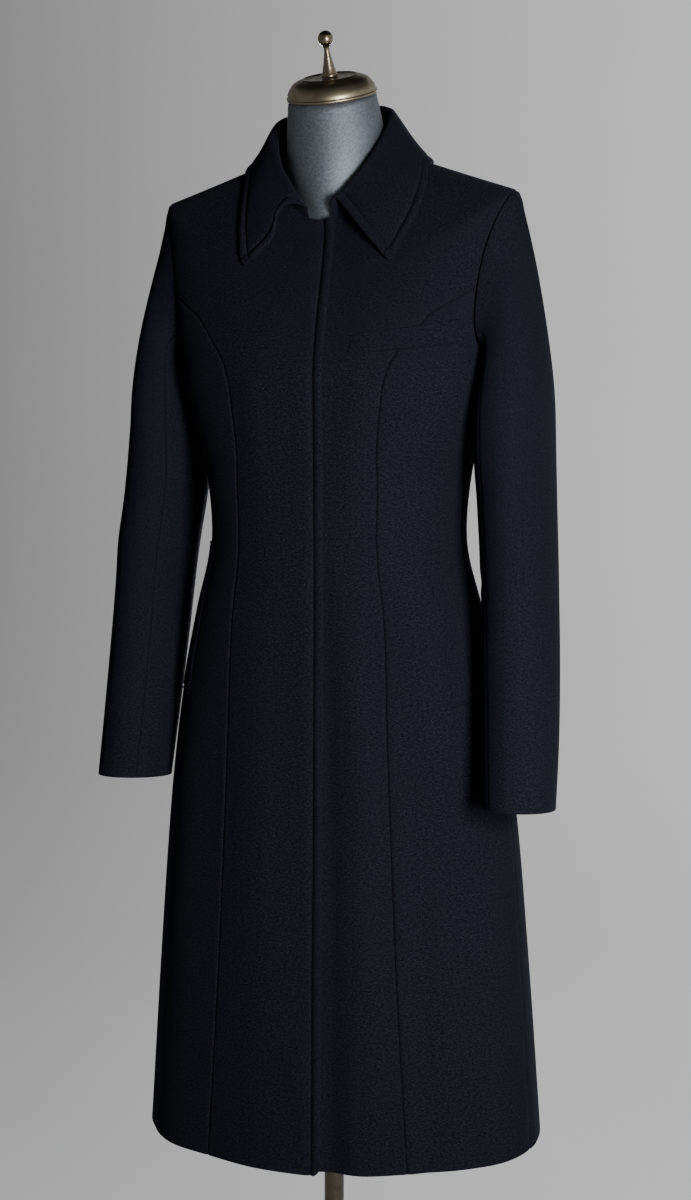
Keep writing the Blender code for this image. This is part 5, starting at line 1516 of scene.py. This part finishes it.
class OVERCOAT_OT_fronts(bpy.types.Operator):
    """Make the two fronts, the wearer's right one closing over the left"""
    bl_idname, bl_label = "overcoat.fronts", "Fronts"

    def execute(self, context):
        levels = trunk_levels()
        trunk_panel("right_front", -1, levels, lambda level: -front_edge(0)(level), front_outer,
                    edge_bands(FRONT_BAND), lambda d: stitched_rise(d, FRONT_BAND),
                    drop=RIGHT_FRONT_DROP, free_corner=True, keep_lines=(("front_edge", FRONT_BAND),))
        trunk_panel("left_front", 1, levels, front_edge(1), front_outer,
                    np.concatenate([EDGE_STEPS, (0.0026, 0.0050)]), lambda d: 0.0 * d,
                    sunk=under_sunk, free_corner=True)
        return {"FINISHED"}


class OVERCOAT_OT_side_fronts(bpy.types.Operator):
    """Make the two side fronts, between the princess and the side seams"""
    bl_idname, bl_label = "overcoat.side_fronts", "Side fronts"

    def execute(self, context):
        levels = trunk_levels(PRINCESS_TOP)
        for name, side in (("left_side_front", 1), ("right_side_front", -1)):
            trunk_panel(name, side, levels, princess_angle, side_outer, seam_bands())
        return {"FINISHED"}


class OVERCOAT_OT_backs(bpy.types.Operator):
    """Make the two backs, sewn together down the centre"""
    bl_idname, bl_label = "overcoat.backs", "Backs"

    def execute(self, context):
        levels = trunk_levels()
        centre = lambda level: np.full(np.shape(level), math.pi)
        for name, side in (("left_back", 1), ("right_back", -1)):
            trunk_panel(name, side, levels, back_outer, centre, seam_bands())
        return {"FINISHED"}


class OVERCOAT_OT_sleeves(bpy.types.Operator):
    """Make the two-piece sleeves"""
    bl_idname, bl_label = "overcoat.sleeves", "Sleeves"

    def execute(self, context):
        make_sleeve(LEFT_SLEEVE, 1)
        make_sleeve(RIGHT_SLEEVE, -1)
        return {"FINISHED"}


class OVERCOAT_OT_collar(bpy.types.Operator):
    """Make the collar, folded over along its roll"""
    bl_idname, bl_label = "overcoat.collar", "Collar"

    def execute(self, context):
        make_collar()
        return {"FINISHED"}


class OVERCOAT_OT_pockets(bpy.types.Operator):
    """Make the welts of the chest pocket and of the two hip pockets"""
    bl_idname, bl_label = "overcoat.pockets", "Pocket welts"

    def execute(self, context):
        make_welt("chest_welt", 1, **CHEST_WELT, rests_on=["left_front_cloth"])
        make_welt("left_hip_welt", 1, **HIP_WELT, long_edge_thin=True, rests_on=["left_side_front_cloth"])
        make_welt("right_hip_welt", -1, **HIP_WELT, long_edge_thin=True, rests_on=["right_side_front_cloth"])
        return {"FINISHED"}


class OVERCOAT_OT_topstitching(bpy.types.Operator):
    """Make the stitches along the front edge, the collar and the welts' ends"""
    bl_idname, bl_label = "overcoat.topstitching", "Topstitching"

    def execute(self, context):
        make_stitches()
        return {"FINISHED"}


class OVERCOAT_OT_stage(bpy.types.Operator):
    """Make the floor, the lights and the camera"""
    bl_idname, bl_label = "overcoat.stage", "Stage"

    def execute(self, context):
        make_stage()
        return {"FINISHED"}


OPERATORS = (DRESSFORM_OT_cover, DRESSFORM_OT_cap, DRESSFORM_OT_stand, OVERCOAT_OT_fronts, OVERCOAT_OT_side_fronts,
             OVERCOAT_OT_backs, OVERCOAT_OT_sleeves, OVERCOAT_OT_collar, OVERCOAT_OT_pockets,
             OVERCOAT_OT_topstitching, OVERCOAT_OT_stage)
GROUPS = {"coat_cloth": CoatCloth, "coat_sewing": CoatSewing, "form_look": FormLook, "stand_look": StandLook,
          "stage_look": StageLook}


class OVERCOAT_PT_panel(bpy.types.Panel):
    """Lists the overcoat's pieces and their values"""
    bl_idname, bl_label = "OVERCOAT_PT_panel", "Overcoat"
    bl_space_type, bl_region_type, bl_category = "VIEW_3D", "UI", "Overcoat"

    def draw(self, context):
        for name, group in GROUPS.items():
            box = self.layout.box()
            box.label(text=name.replace("_", " ").capitalize())
            for value in group.__annotations__:
                box.prop(getattr(context.scene, name), value)
        for operator in OPERATORS:
            self.layout.operator(operator.bl_idname)


def register():
    for group in (*GROUPS.values(), *OPERATORS, OVERCOAT_PT_panel):
        bpy.utils.register_class(group)
    for name, group in GROUPS.items():
        setattr(bpy.types.Scene, name, PointerProperty(type=group))


def unregister():
    for name in GROUPS:
        delattr(bpy.types.Scene, name)
    for group in reversed((*GROUPS.values(), *OPERATORS, OVERCOAT_PT_panel)):
        bpy.utils.unregister_class(group)


def main():
    register()
    for operator in OPERATORS:
        family, name = operator.bl_idname.split(".")
        getattr(getattr(bpy.ops, family), name)()


if __name__ == "__main__":
    main()
